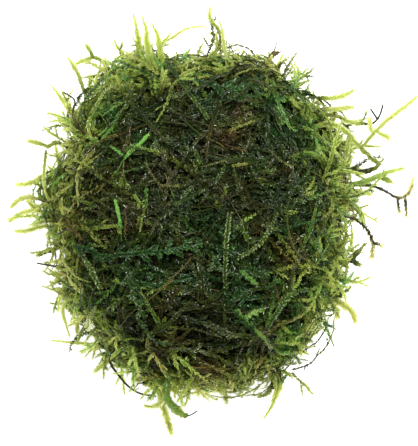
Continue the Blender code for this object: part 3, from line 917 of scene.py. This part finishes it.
def setTones(mesh, along):
    # Each leaf is a little different, and its colour numbers double as the piece's map
    order = np.arange(len(mesh.vertices))
    own, place = numbers(mesh, "jitter"), numbers(mesh, "leafAlong")
    toneSpread, ageSpread = ((order * step) % 1 - 0.5 for step in jitter["cornerSteps"])
    # darker at each leaf's root and lighter at its tip: painted shade and a painted highlight
    alongShadeAndHighlight = np.interp(place, (0, jitter["middle"], 1), (jitter["rootAge"], 0, jitter["tipHighlight"])) * along
    tone = numbers(mesh, "tone") + own * jitter["leafTone"] + toneSpread * jitter["corner"]
    age = numbers(mesh, "age") + (own * jitter["leafAge"] + alongShadeAndHighlight) + ageSpread * jitter["corner"]
    colours = {"tone": tone.clip(*jitter["limits"]), "age": age.clip(*jitter["limits"])}
    for name in ("jitter", "leafAlong", "up", "leaf", "girth", "tone", "age"):
        if name in mesh.attributes:
            mesh.attributes.remove(mesh.attributes[name])
    for name, found in colours.items():
        mesh.attributes.new(name, "FLOAT", "POINT").data.foreach_set("value", found.astype(np.float32))
    corner = np.zeros(len(mesh.loops), np.int32)
    mesh.loops.foreach_get("vertex_index", corner)
    pairs = np.stack([onMap(found)[corner] for found in colours.values()], 1).astype(np.float32)
    while mesh.uv_layers:
        mesh.uv_layers.remove(mesh.uv_layers[0])
    mesh.uv_layers.new(name="OFBake").uv.foreach_set("vector", pairs.ravel())


def dressed(name, lines, look):
    obj = addPiece(name + "Lines", lines.mesh(name + "Lines"))
    modifier = obj.modifiers.new("leafyShoot", "NODES")
    modifier.node_group = shootTree
    values = {
        "Leaf": leaves[look["kind"]], "Finish": finishes[look["kind"]], "Leaf Gap": look["gap"] * mm,
        "Leaf Angle": look["angle"], "Leaf Roll": look["roll"], "Stem Sides": look["sides"],
        "Seed": look["seed"],
    }
    for key, value in values.items():
        modifier[shootSockets[key]] = value
    graph = bpy.context.evaluated_depsgraph_get()
    mesh = bpy.data.meshes.new_from_object(obj.evaluated_get(graph))
    bpy.data.objects.remove(obj)
    mesh.name = name
    setTones(mesh, look["along"])
    triangleCounts[name] = sum(len(face.vertices) - 2 for face in mesh.polygons)
    return addPiece(name, mesh)


innerMoss = makeBed()
triangleCounts["innerMoss"] = len(innerMoss.data.polygons)
standsFor(innerMoss, "moss_tangle", "moss_clump")
for linesOf, layers in ((tangleLines, tangle), (rimLines, rim)):
    for name, look in layers.items():
        standsFor(dressed(name, linesOf(look), look), "moss_tangle", "moss_clump")
        print(name, triangleCounts[name], "triangles")

# The shoots that stand clear of the tangle: a look, a route from root to tip, and its twigs, in mm
sideShoots = {
    "stem_right_1": ("knotty", ((31, 10, 16), (37.3, 9.4, 15), (40.5, 9.1, 13.5), (44, 7.6, 12),
        (47.3, 6.1, 11), (50, 8, 10), (50.6, 10.8, 9.5)), ((46.7, 6.3, 11.1), (47.4, 2.4, 9)),
        ((48.6, 6.8, 10.6), (49.2, 1.6, 9.4))),
    "shoot_right_1": ("green", ((30, 8, 20), (37.3, 9.9, 19.5), (40.5, 11.1, 19), (44, 12.4, 18),
        (47.5, 13.4, 17.5)), ((41.5, 11.5, 18.8), (44.6, 9.9, 18))),
    "stem_right_2": ("twiggy", ((30, 11, 10.5), (35.5, 13.4, 10.5), (39.8, 16.1, 10), (43, 16.4, 9.5))),
    "shoot_right_2": ("dusk", ((30, 13.5, 14.5), (36.5, 12.6, 14.3), (40.5, 13.4, 13.8),
        (42.8, 15.6, 13))),
    "shoot_right_3": ("arc", ((21.5, 21.5, 14), (27.5, 24.2, 18), (31, 23.6, 22), (33.6, 21.6, 23),
        (35.5, 19.4, 23.2), (38.3, 16.6, 22.5), (41, 14.4, 22)), ((33.9, 21.2, 24), (33, 16.8, 22.6))),
    "shoot_right_4": ("pale", ((36.7, 18.4, 23.2), (37.45, 19.15, 23.2), (39.2, 21.2, 23.4),
        (41.5, 23.6, 23), (44.8, 26.4, 22), (48, 28.8, 21), (50.4, 30.8, 20)), ((39.4, 21.6, 23.3),
        (38.6, 25.2, 22.8)), ((40.2, 22.3, 23.2), (43.4, 20.6, 22.4))),
    "stem_right_3": ("fading", ((22, 25, 16), (27, 26.6, 16.5), (30.8, 26.4, 16.5), (33.8, 25.1, 16.5),
        (36.8, 24.6, 16), (40, 24.6, 15.5), (41.8, 26.4, 15), (42.8, 29.4, 14.5)), ((41.2, 25.8, 15.2),
        (39.6, 28.3, 14.6))),
    "shoot_right_5": ("paleTip", ((21, 26.5, 20), (26.5, 27.4, 20.3), (29.8, 27.7, 20.5),
        (32.3, 28, 20.5), (34.6, 28.3, 20))),
    "shoot_right_6": ("paleTip", ((19, 29, 17), (24.5, 30.8, 18), (29, 30.7, 18), (32.5, 31.3, 17.5),
        (35.1, 32.6, 17))),
    "stem_top_1": ("tuft", ((9.5, 33, 12), (13.4, 39, 12.5), (15.6, 42.6, 12.5), (16.6, 45.4, 12)),
        ((15, 41.6, 12.5), (17.6, 42.8, 12))),
    "shoot_top_1": ("thin", ((-0.5, 36, 12), (0.8, 41.5, 12.5), (2.2, 44.5, 13), (2.3, 46.6, 13),
        (1.3, 48.9, 12.5), (-0.3, 51.1, 12), (-0.3, 53.4, 12))),
    "shoot_top_2": ("slender", ((4.5, 36, 16), (3.6, 42, 16.5), (3, 45.4, 16.5), (2.8, 47.6, 16.5),
        (2, 50, 16))),
    "shoot_top_3": ("slender", ((-15, 36, 10), (-13.4, 41.5, 10), (-12.3, 44.9, 10), (-9.8, 46.4, 9.5),
        (-6.5, 48.6, 9), (-3.2, 49.3, 8.5), (-1.6, 49.2, 8.5))),
    "shoot_top_4": ("blade", ((-16.5, 35, 15), (-17.6, 42, 15.5), (-18, 45.4, 16), (-18.6, 48.8, 16),
        (-19.3, 51.7, 15.5))),
    "shoot_top_5": ("blade", ((-14.2, 34, 20), (-15.2, 41.5, 20), (-15.8, 44.6, 20.5),
        (-15.9, 47.3, 20.5), (-16.8, 50.4, 20))),
    "shoot_top_6": ("blade", ((-11, 34.5, 15), (-12.3, 41.5, 15.3), (-12.9, 44.5, 15.5),
        (-13.3, 46.8, 15.5), (-14.5, 49, 15))),
    "shoot_left_1": ("thin", ((-21.5, 31, 13), (-25.5, 38.5, 13), (-28.5, 41, 13), (-31, 40.7, 12.5),
        (-33.6, 39.7, 12)), ((-29.2, 41, 13), (-31, 44.2, 12.4))),
    "shoot_left_2": ("thin", ((-26.5, 25, 17), (-30.5, 30.5, 17.5), (-31.8, 33.6, 18), (-33, 36.9, 18),
        (-35.2, 40.5, 17.5))),
    "shoot_left_3": ("blade", ((-28.5, 20.5, 13.5), (-33, 25.4, 14), (-35.4, 28.3, 14),
        (-37.6, 31.3, 13.5), (-39.7, 34, 13))),
    "stem_left_1": ("bare", ((-28, 18, 20.5), (-33, 24.2, 22), (-33.8, 27.2, 22), (-33.4, 30, 22),
        (-36.2, 31.9, 21.5))),
    "shoot_left_4": ("thin", ((-32, 16, 16), (-37.5, 19.6, 16.5), (-40.2, 19, 16.5), (-42.8, 19.7, 16),
        (-45.2, 20.2, 15.5))),
    "shoot_left_5": ("slender", ((-40.8, 18, 16.3), (-41.2, 15, 16), (-41.5, 11.9, 15.5), (-41.2, 8, 15),
        (-40.6, 5.9, 14.4))),
    "shoot_left_6": ("paleTip", ((-33, 14.8, 11), (-39, 13.2, 11), (-41.9, 12, 11), (-43.9, 10.5, 10.5),
        (-46, 9.7, 10), (-48.7, 9.5, 9.5))),
    "shoot_left_7": ("paleTip", ((-34, 4, 18), (-40, 5, 18.6), (-42.8, 5.9, 18.6), (-45.3, 6.2, 18.2),
        (-47.8, 5.4, 17.5), (-49.4, 3.7, 17))),
    "shoot_left_8": ("pale", ((-34, 1, 13), (-40.5, 2, 13.2), (-44, 3.1, 13.2), (-47.6, 2.1, 12.8),
        (-50.3, 0.3, 12.4)), ((-42.6, 2.7, 13.2), (-45.8, 5.4, 13))),
    "shoot_left_9": ("pale", ((-34, -1.5, 9), (-40, -1, 9.3), (-43, -1.1, 9.3), (-46.5, -2.1, 9),
        (-49.2, -2.2, 8.5))),
    "shoot_left_10": ("dusk", ((-33, -4.6, 13), (-38.5, -6.3, 13.3), (-41, -7.2, 13.3),
        (-43.3, -8.2, 13))),
    "stem_left_2": ("bare", ((-33, -10.4, 10), (-38, -11, 10.2), (-41, -10.7, 10.2), (-43.8, -10.2, 10))),
    "shoot_left_11": ("green", ((-26.5, -19.6, 12), (-31.5, -22, 12.2), (-34, -22.3, 12.2),
        (-36, -21.1, 12), (-38.4, -19.7, 11.5))),
    "shoot_left_12": ("slender", ((-29.5, -14.5, 17.5), (-35, -18.5, 18), (-36.6, -21.4, 18),
        (-35.9, -25, 17.5), (-35, -28, 17))),
    "shoot_left_13": ("pale", ((-26.5, -20.4, 15.8), (-31, -22.8, 15.9), (-33, -24.4, 15.7),
        (-33.2, -27.2, 15.2))),
    "shoot_left_14": ("slender", ((-20.5, -26.5, 9), (-25.8, -29.8, 9.4), (-29, -30.7, 9.4),
        (-32.8, -30.4, 9), (-36.8, -30.1, 8.5), (-39.9, -29.7, 8)), ((-30.2, -30.8, 9.3),
        (-32.6, -32.9, 9))),
    "stem_left_3": ("twiggy", ((-24.5, -24.5, 12.6), (-29.5, -27, 12.8), (-32.4, -28.3, 12.6),
        (-34.9, -30.4, 12), (-35.3, -31.9, 11.5))),
    "shoot_bottom_1": ("pale", ((-19.5, -29.5, 13.5), (-23.8, -33.6, 13.8), (-26.3, -34.9, 13.8),
        (-28.9, -37.1, 13))),
    "stem_bottom_1": ("bare", ((-20, -26, 19), (-24.5, -32.5, 18.6), (-24.6, -35.2, 17.4),
        (-22.8, -38.1, 15.5), (-20.8, -40.6, 14), (-18.5, -42.4, 12.5), (-16.5, -43.1, 11.5),
        (-13.8, -43.6, 10.5))),
    "shoot_bottom_2": ("toothed", ((-9.6, -35, 11), (-13, -39, 11), (-15.5, -39.9, 10.8),
        (-18.6, -40.5, 10.3)), ((-14.6, -39.6, 10.9), (-17.2, -37.9, 10.4))),
    "shoot_bottom_3": ("pale", ((-8.5, -35, 15), (-11, -42.2, 15.2), (-12.6, -44.9, 15),
        (-14.5, -45.7, 14.5), (-16.3, -45.7, 14))),
    "shoot_bottom_4": ("band", ((-14.2, -35, 6.5), (-13, -42, 6.8), (-12.4, -45.5, 6.5),
        (-11.3, -49.2, 6), (-10, -53.4, 5))),
    "shoot_bottom_5": ("toothed", ((-9.6, -34, 19.5), (-11, -41.5, 19.4), (-9.6, -45, 18.4),
        (-7.6, -47.1, 17.2), (-5.6, -47.9, 16), (-3.4, -46.8, 15.5))),
    "shoot_bottom_6": ("pale", ((2.3, -35, 9), (3.3, -41, 9.3), (3.6, -43.3, 9), (3.8, -45.2, 8.5))),
    "shoot_bottom_7": ("dusk", ((14.8, -31.5, 12), (15.6, -38.5, 12.3), (15.2, -41, 12.2),
        (13.8, -42.9, 12), (12.1, -43.5, 11.5))),
    "shoot_bottom_8": ("blade", ((16, -31.5, 7.3), (17.2, -39.5, 7.5), (16.6, -43, 7.2), (15.5, -46, 6.7),
        (13.5, -49.5, 6))),
    "shoot_right_7": ("band", ((23, -14, 12.5), (29, -18.2, 13), (32.3, -20.1, 13), (34.8, -22, 12.5),
        (36, -24.5, 12))),
    "shoot_right_8": ("band", ((23, -16.5, 8.3), (29.3, -19.6, 8.6), (31.2, -21.4, 8.5),
        (31.9, -23.7, 8.2))),
    "stem_right_4": ("knotty", ((28.5, 2.2, 16.5), (34.8, 1.2, 17), (37.6, -0.6, 17), (39.6, -3.4, 16.5),
        (40.1, -6.1, 16), (39.8, -8.9, 15.5)), ((40, -5, 16.2), (42.2, -5.6, 15.8))),
    "shoot_right_9": ("dusk", ((28, -11.2, 12), (33.6, -9.8, 12.3), (36.5, -7.6, 12.3), (38.6, -5.3, 12)),
        ((34.6, -9.2, 12.3), (37.2, -10.6, 12))),
    "shoot_right_10": ("dusk", ((24.5, -15.2, 17.5), (30.5, -17.8, 17.8), (33, -17.2, 17.5),
        (34.4, -15.9, 17.3))),
    "shoot_right_11": ("pale", ((29, 6, 11.5), (35, 7.6, 11.6), (37.5, 7.6, 11.3), (39.9, 7, 10.8))),
}

# Those that lie on it, in plan
lyingShoots = {
    "lying_shoot_1": ("emerald", ((-23.3, 11.9), (-20.8, 16.1), (-18.3, 18.4), (-15.6, 21.3)),
        ((-21, 15.9), (-24.2, 18.6))),
    "lying_shoot_2": ("emerald", ((-22.5, 26.2), (-24, 23.6), (-26.4, 20.9))),
    "lying_shoot_3": ("emerald", ((-22, -4.4), (-22.5, 0.1), (-23.6, 5.3))),
    "lying_shoot_4": ("olive", ((16.2, 3), (14, -2.1), (10.8, -5.9), (7, -8.6))),
    "lying_shoot_5": ("tan", ((18.6, 2.4), (19, -2.4), (21, -7.4), (25, -10.4))),
    "lying_shoot_6": ("olive", ((3.8, -16.8), (3.5, -13.6), (4, -5.4), (4.6, 2.2))),
    "lying_shoot_7": ("teal", ((7.2, -11.6), (8.5, -13.2), (11, -15.4))),
    "lying_shoot_8": ("teal", ((6, -21.2), (8.8, -24.9), (12, -27.8), (14.4, -30.6)), ((7.6, -23.4),
        (12.8, -21.2))),
    "lying_stem_1": ("twine", ((-9.6, -14.4), (-15.5, -19.4), (-18.8, -21.8), (-22.6, -25.6))),
}

# And more that can be told apart on top of it, which are one piece
surfaceShoots = (
    ("tan", ((-31.2, 14.9), (-29, 17.9), (-27, 19.6), (-24.8, 20.9), (-22.5, 21.4))),
    ("dotted", ((-11.2, 38.1), (-9.5, 36.6), (-7.5, 34.6), (-5.8, 32.4), (-4, 29.9), (-2, 27.6),
        (-0.5, 24.6))),
    ("frond", ((-3.8, 34.6), (0.2, 32.9), (3.8, 32.4), (7.8, 32.4), (10.8, 33.9), (13, 35.1))),
    ("frond", ((4.2, 29.6), (6.8, 30.6), (9.8, 30.1), (11.8, 31.1))),
    ("straw", ((3.8, 21.9), (6, 23.1), (8.8, 24.4), (11.5, 25.4))),
    ("rust", ((2.8, 18.9), (5, 18.1), (7.5, 17.4))),
    ("frond", ((12.8, 30.4), (15.8, 29.6), (19, 29.9), (21.8, 30.9))),
    ("olive", ((15, 28.6), (15.8, 26.6), (16.8, 23.9))),
    ("straw", ((4.2, 13.4), (6, 13.9), (7.8, 14.1))),
    ("tan", ((-1.2, 13.4), (0.8, 14.1), (3, 14.9))),
    ("tan", ((-16.5, 14.6), (-15.2, 12.6), (-14, 10.4), (-12.5, 8.9), (-10.2, 8.6), (-8, 8.6))),
    ("dotted", ((-8.8, 3.4), (-7.2, 5.1), (-5.8, 6.9), (-4.5, 8.4))),
    ("tan", ((14, 17.9), (16, 15.9), (18, 14.1), (20, 13.1))),
    ("frond", ((-25.8, -8.6), (-22.8, -7.4), (-19, -7.4), (-15.2, -7.1), (-11.5, -6.9), (-7.8, -6.1),
        (-2.8, -5.4))),
    ("frond", ((-20.8, -8.9), (-19.8, -12.4), (-18.8, -16.4), (-17.8, -19.9), (-16, -22.6))),
    ("rust", ((-21.2, 3.1), (-20.8, 0.6), (-21, -2.1))),
    ("tan", ((-5.2, -8.9), (-7, -10.9), (-8.8, -12.6), (-10.8, -14.9), (-13.2, -16.9))),
    ("olive", ((-17.8, -22.9), (-16.2, -24.9), (-14.5, -26.9), (-12.8, -28.4), (-10.2, -28.6))),
    ("olive", ((-31.8, -5.4), (-30.8, -7.9), (-29.5, -10.6), (-28.2, -13.6), (-26.8, -16.4))),
    ("frond", ((-32.8, -5.1), (-30.2, -5.9), (-27.8, -6.6), (-26, -8.6))),
    ("rust", ((-36.5, -2.4), (-34.5, -1.4), (-32.8, -1.6), (-31.2, -3.4))),
    ("emerald", ((24.2, -1.4), (25, -3.9), (26, -6.9))),
    ("olive", ((12.8, -25.9), (14.8, -22.6), (17, -19.4), (20, -17.1), (23.5, -16.4))),
    ("rust", ((15, -15.4), (15.5, -17.4), (16.2, -19.4))),
    ("straw", ((22.5, -27.9), (23.8, -25.4), (25.5, -22.6))),
    ("straw", ((23.8, -28.4), (25.2, -25.6), (27, -23.4))),
    ("olive", ((7.2, -0.9), (8.2, -2.6), (9.5, -4.4))),
    ("dotted", ((0.8, 9.1), (1.8, 11.1), (2.8, 13.1))),
    ("dotted", ((-3.8, 18.1), (-3, 16.6), (-2, 14.4))),
    ("olive", ((-33.8, 23.6), (-33.8, 27.1), (-32.2, 29.6), (-30, 31.6), (-28.2, 34.4), (-26.8, 37.1))),
    ("straw", ((-28.8, 26.6), (-27.2, 29.1), (-26, 31.1), (-24.5, 32.6))),
    ("olive", ((-30.8, 23.6), (-31, 27.1), (-30, 29.9), (-28, 32.1), (-26, 34.6))),
    ("pale", ((-27.5, -20.5), (-29.3, -23), (-30, -26.5))),
)

# The looks of all these. A tone of 0 is brown and 1 is green, and an age of 0 is old and dark with painted
# shade and 1 is young.
# age and leaf, in mm, change along a shoot
looks = {
    "pale": {
        "slot": "pale_shoot", "tone": 0.44, "age": ((0, 0.66), (0.4, 0.92), (1, 1.0)),
        "leaf": ((0, 0.9), (0.5, 1.4), (0.85, 1.4), (1, 0.9)), "girth": 0.24, "angle": 0.46,
    },
    "band": {
        "slot": "pale_shoot", "tone": 0.41, "age": ((0, 0.8), (0.4, 1.0), (1, 1.0)),
        "leaf": ((0, 1.8), (0.5, 2.0), (0.9, 1.8), (1, 1.2)), "girth": 0.4, "angle": 0.46,
    },
    "slender": {
        "slot": "pale_shoot", "tone": 0.45, "age": ((0, 0.5), (0.4, 0.84), (1, 1.0)),
        "leaf": ((0, 0.9), (0.6, 1.15), (1, 0.7)), "girth": 0.22, "angle": 0.4,
    },
    "paleTip": {
        "slot": "pale_shoot", "tone": 0.46, "age": ((0, 0.2), (0.45, 0.35), (0.62, 0.92), (1, 1.0)),
        "leaf": ((0, 0.6), (0.4, 0.7), (0.6, 1.5), (0.9, 1.4), (1, 0.9)), "girth": 0.26, "angle": 0.46,
    },
    "blade": {
        "slot": "pale_shoot", "tone": 0.47, "age": ((0, 0.2), (0.3, 0.6), (0.5, 0.95), (1, 1.0)),
        "leaf": ((0, 0.8), (0.35, 2.3), (0.6, 1.8), (1, 0.7)), "girth": 0.26, "angle": 0.36,
    },
    "green": {
        "slot": "green_shoot", "tone": 0.6, "age": ((0, 0.3), (0.5, 0.64), (1, 0.9)),
        "leaf": ((0, 1.2), (0.6, 1.6), (1, 0.9)), "girth": 0.18, "angle": 0.5,
    },
    "arc": {
        "slot": "pale_shoot", "tone": 0.52, "age": ((0, 0.6), (0.4, 0.84), (0.7, 0.74), (1, 0.56)),
        "leaf": ((0, 1.1), (0.4, 1.5), (0.9, 1.4), (1, 1.0)), "girth": 0.28, "angle": 0.46,
    },
    "thin": {
        "slot": "green_shoot", "tone": 0.5, "age": ((0, 0.25), (0.5, 0.52), (1, 0.94)),
        "leaf": ((0, 0.9), (0.5, 1.1), (0.8, 1.5), (1, 1.0)), "girth": 0.22, "angle": 0.4,
    },
    "dusk": {
        "slot": "green_shoot", "tone": 0.5, "age": ((0, 0.15), (0.6, 0.3), (1, 0.6)),
        "leaf": ((0, 1.0), (0.6, 1.3), (1, 0.8)), "girth": 0.22, "angle": 0.55,
    },
    "toothed": {
        "slot": "green_shoot", "tone": 0.63,
        "age": ((0, 0.3), (0.4, 0.52), (0.76, 0.8), (0.84, 0.15), (1, 0.15)),
        "leaf": ((0, 0.8), (0.4, 1.9), (0.6, 2.3), (0.78, 1.7), (0.86, 0), (1, 0)), "girth": 0.34,
        "angle": 0.56,
    },
    "bare": {
        "slot": "bare_stem", "tone": 0.32, "age": ((0, 0.22), (0.7, 0.26), (1, 0.38)),
        "leaf": ((0, 0), (1, 0)), "girth": 0.42, "angle": 0.5,
    },
    "knotty": {
        "slot": "bare_stem", "tone": 0.3, "age": ((0, 0.22), (0.6, 0.28), (1, 0.9)),
        "leaf": ((0, 0.8), (0.6, 0.8), (1, 1.3)), "girth": 0.34, "angle": 0.8, "gap": 0.28,
    },
    "fading": {
        "slot": "bare_stem", "tone": 0.5, "age": ((0, 0.55), (0.6, 0.88), (0.72, 0.14), (1, 0.12)),
        "leaf": ((0, 1.0), (0.6, 1.4), (0.72, 0.3), (1, 0)), "girth": 0.46, "angle": 0.5,
        "twigStart": 0.75,
    },
    "twiggy": {
        "slot": "bare_stem", "tone": 0.44, "age": ((0, 0.24), (0.6, 0.3), (1, 0.52)),
        "leaf": ((0, 0.8), (0.6, 0.9), (1, 0.7)), "girth": 0.2, "angle": 0.6, "gap": 0.34,
    },
    "tuft": {
        "slot": "bare_stem", "tone": 0.26, "age": ((0, 0.3), (0.6, 0.42), (1, 0.34)),
        "leaf": ((0, 1.2), (0.6, 1.3), (0.8, 0.5), (1, 0)), "girth": 0.26, "angle": 0.8, "gap": 0.24,
    },
    "emerald": {
        "slot": "pale_shoot", "tone": 0.94, "age": ((0, 0.36), (0.3, 0.44), (0.5, 0.56), (1, 0.72)),
        "leaf": ((0, 0), (0.25, 0.2), (0.4, 0.95), (0.9, 0.95), (1, 0.6)), "girth": 0.18, "angle": 0.42,
    },
    "teal": {
        "slot": "pale_shoot", "tone": 0.77, "age": ((0, 0.6), (0.5, 0.7), (1, 0.86)),
        "leaf": ((0, 1.0), (0.6, 1.3), (1, 0.8)), "girth": 0.14, "angle": 0.72, "gap": 0.3, "along": 2.2,
    },
    "olive": {
        "slot": "green_shoot", "tone": 0.62, "age": ((0, 0.27), (0.5, 0.37), (1, 0.34)),
        "leaf": ((0, 0.8), (0.6, 1.2), (1, 0.9)), "girth": 0.14, "angle": 0.66, "gap": 0.36, "along": 1.8,
    },
    "dotted": {
        "slot": "green_shoot", "tone": 0.64, "age": ((0, 0.28), (1, 0.34)),
        "leaf": ((0, 0.7), (0.6, 0.85), (1, 0.7)), "girth": 0.14, "angle": 0.7,
    },
    "frond": {
        "slot": "green_shoot", "tone": 0.76, "age": ((0, 0.2), (0.6, 0.26), (1, 0.33)),
        "leaf": ((0, 0.9), (0.6, 1.15), (1, 0.8)), "girth": 0.14, "angle": 0.8, "twigs": 2,
    },
    "straw": {
        "slot": "green_shoot", "tone": 0.44, "age": ((0, 0.5), (0.5, 0.68), (1, 0.62)),
        "leaf": ((0, 0.6), (0.5, 0.8), (1, 0.6)), "girth": 0.18, "angle": 0.5,
    },
    "tan": {
        "slot": "green_shoot", "tone": 0.34, "age": ((0, 0.42), (1, 0.48)), "leaf": ((0, 0.4), (1, 0.5)),
        "girth": 0.2, "angle": 0.6,
    },
    "twine": {
        "slot": "bare_stem", "tone": 0.3, "age": ((0, 0.48), (1, 0.4)), "leaf": ((0, 0), (1, 0)),
        "girth": 0.2, "angle": 0.5,
    },
    "rust": {
        "slot": "bare_stem", "tone": 0.12, "age": ((0, 0.44), (1, 0.5)),
        "leaf": ((0, 0), (0.4, 0.4), (1, 0.5)), "girth": 0.22, "angle": 0.5,
    },
}
clearShoot = {
    "kind": "fine", "gap": 0.17, "roll": 0.6, "sides": 5, "along": 0.5,
    "firstSeed": 41,
    "step": 1.0,  # mm between a line's points
    "rest": 1.1,  # mm over the clump, of those that lie on it
    "twigStart": 0.35,  # a twig starts as its stem is this far along
    "tone": 0.04,  # how far they differ from one another
    "twist": 0.3,
    "taper": 0.5,
}
surface = {
    "kind": "fine", "gap": 0.26, "angle": 0.75, "roll": 0.8, "sides": 4, "along": 1.5, "seed": 120,
    "rest": 1.9,
}
stub = {  # a short broken twig on a bare stem
    "first": 3,  # the point of the stem where they start
    "share": 0.5,  # of its points
    "lean": 0.6,
    "length": (0.5, 1.6),
    "bow": 0.1,
    "girth": (0.13, 0.10, 0.06),
    "age": 0.08,
}
sideTwig = {"spread": (0.8, 1.4), "length": (1.6, 3.2), "curl": 0.06, "droop": 0.02, "wander": 0.06}


def blend(stops, share):
    for (low, first), (high, second) in zip(stops, stops[1:]):
        if share <= high:
            return first + (second - first) * (share - low) / (high - low)
    return stops[-1][1]


def smoothRoute(route):
    ends = [route[0] * 2 - route[1]] + route + [route[-1] * 2 - route[-2]]
    points = []
    for k in range(1, len(ends) - 2):
        count = max(1, round((ends[k + 1] - ends[k]).length / clearShoot["step"]))
        points += [smooth(*ends[k - 1:k + 3], i / count) for i in range(count)]
    return points + [route[-1]]


def onClump(place, rest):
    # The point of the clump that the camera sees at a place of the plan, or else the nearest one
    eye = eyePoint()
    level = Vector((place.x, place.y, photo["height"]))
    hit, normal, *_ = clumpTree.ray_cast(eye, (level - eye).normalized())
    if hit is None:
        hit, normal, *_ = clumpTree.find_nearest(level)
    return hit + normal * rest


def addClearLine(lines, points, look, tone, draw, start):
    count = len(points)
    ups, side = [], (up + randomDirection(draw) * clearShoot["twist"]).normalized()
    for k in range(count):
        course = (points[min(k + 1, count - 1)] - points[max(k - 1, 0)]).normalized()
        side = (side - course * side.dot(course)).normalized()
        ups.append(side)
    shares = [start + (1 - start) * k / (count - 1) for k in range(count)]
    lines.add(
        points, ups, tone=tone,
        girth=[look["girth"] * (1 - clearShoot["taper"] * share) for share in shares],
        age=[blend(look["age"], share) for share in shares],
        leaf=[blend(look["leaf"], share) for share in shares],
    )
    return ups


def addStubs(lines, points, tone, draw):
    for k in range(stub["first"], len(points) - 1):
        if draw.random() < stub["share"]:
            along = (points[k + 1] - points[k]).normalized()
            across = along.cross(randomDirection(draw)).normalized()
            tip = points[k] + (across + along * stub["lean"]) * draw.uniform(*stub["length"])
            route = [points[k], (points[k] + tip) / 2 + across * stub["bow"], tip]
            lines.add(route, [up] * 3, tone=tone, girth=stub["girth"], age=stub["age"], leaf=0)


def addSideTwigs(lines, points, ups, look, tone, draw):
    # Short leafy twigs to the left and to the right by turns
    hand = 1
    for k in range(1, len(points) - 1, look["twigs"]):
        along = (points[k + 1] - points[k]).normalized()
        course = (along + along.cross(ups[k]) * hand * draw.uniform(*sideTwig["spread"])).normalized()
        length, curl = draw.uniform(*sideTwig["length"]), -sideTwig["curl"] * hand
        droop, wander = sideTwig["droop"], sideTwig["wander"]
        route = bendLine(points[k], course, ups[k], length, curl, droop, wander, draw)
        age, leaf = (blend(look[key], k / len(points)) for key in ("age", "leaf"))
        lines.add(*route, tone=tone, girth=twig["girth"], age=age, leaf=leafSizes(len(route[0]), leaf))
        hand = -hand


def addClearShoot(lines, look, routes, draw, rest=None):
    tone = look["tone"] + draw.gauss(0, clearShoot["tone"])
    shift = Vector((*clump["middle"], 0))
    for number, path in enumerate(routes):
        points = smoothRoute([Vector((*place, 0)[:3]) + shift for place in path])
        if rest:
            points = [onClump(point, rest) for point in points]
        start = look.get("twigStart", clearShoot["twigStart"]) if number else 0.0
        ups = addClearLine(lines, points, look, tone, draw, start)
        if "twigs" in look:
            addSideTwigs(lines, points, ups, look, tone, draw)
        if look["slot"] == "bare_stem" and not rest:
            addStubs(lines, points, tone, draw)


def makeClearShoot(node, look, routes, seed, rest):
    lines = Lines()
    addClearShoot(lines, look, routes, random.Random(seed), rest)
    first, *others = node.split("_")
    name = first + "".join(word.title() for word in others)
    standsFor(dressed(name, lines, {**clearShoot, **look, "seed": seed}), look["slot"], node)


seed = clearShoot["firstSeed"]
for rest, table in ((None, sideShoots), (clearShoot["rest"], lyingShoots)):
    for node, (lookName, *routes) in table.items():
        makeClearShoot(node, looks[lookName], routes, seed, rest)
        seed += 1
print("clear shoots ready")

lines, draw = Lines(), random.Random(surface["seed"])
for lookName, route in surfaceShoots:
    addClearShoot(lines, looks[lookName], [route], draw, surface["rest"])
standsFor(dressed("surfaceShoots", lines, surface), "moss_tangle", "moss_clump")
print("surfaceShoots", triangleCounts["surfaceShoots"], "triangles")
print("all pieces", sum(triangleCounts.values()), "triangles")

for leaf in leaves.values():
    bpy.data.objects.remove(leaf)

# The studio: a pale floor that glows a little, like a light table, and soft light from above
studio = {
    "floor": 12.0,  # m across
    "floorColour": (0.9, 0.9, 0.9, 1),
    "floorRough": 0.9,
    "glow": 0.90,
    "white": (1, 1, 1, 1),
    "sky": 0.10,
    "key": (-0.07, 0.22, 0.54),  # m
    "keyPower": 3.3,
    "keySize": 0.25,
    "spark": (0.16, 0.14, 0.50),
    "sparkPower": 2.4,
    "sparkSize": 0.025,
}


def makeFloor():
    bm = bmesh.new()
    bmesh.ops.create_grid(bm, x_segments=1, y_segments=1, size=studio["floor"] / 2)
    mesh = bpy.data.meshes.new("floor")
    bm.to_mesh(mesh)
    bm.free()
    paint = Paint("paleFloor")
    body = paint.add(
        "ShaderNodeBsdfPrincipled", None,
        {
            "Base Color": studio["floorColour"], "Roughness": studio["floorRough"],
            "Emission Color": studio["white"], "Emission Strength": studio["glow"],
        },
    )
    mesh.materials.append(paint.finish(body.outputs[0]))
    addPiece("floor", mesh)


def addLight(name):
    light = bpy.data.lights.new(name, "AREA")
    light.energy, light.size = studio[name + "Power"], studio[name + "Size"]
    obj = bpy.data.objects.new(name, light)
    obj.location = studio[name]
    obj.rotation_euler = Vector(studio[name]).to_track_quat("Z", "Y").to_euler()
    bpy.context.scene.collection.objects.link(obj)


def makeWorld():
    world = bpy.data.worlds.new("studio")
    world.use_nodes = True
    background = world.node_tree.nodes["Background"].inputs
    background["Color"].default_value = studio["white"]
    background["Strength"].default_value = studio["sky"]
    bpy.context.scene.world = world


def makeCamera():
    data = bpy.data.cameras.new("camera")
    data.lens, data.sensor_width = photo["lens"], photo["sensor"]
    camera = bpy.data.objects.new("camera", data)
    camera.location = eyePoint() * mm
    bpy.context.scene.collection.objects.link(camera)
    bpy.context.scene.camera = camera


makeFloor()
addLight("key")
addLight("spark")
makeWorld()
bpy.context.scene.view_settings.view_transform = "Standard"
makeCamera()
print("studio ready")
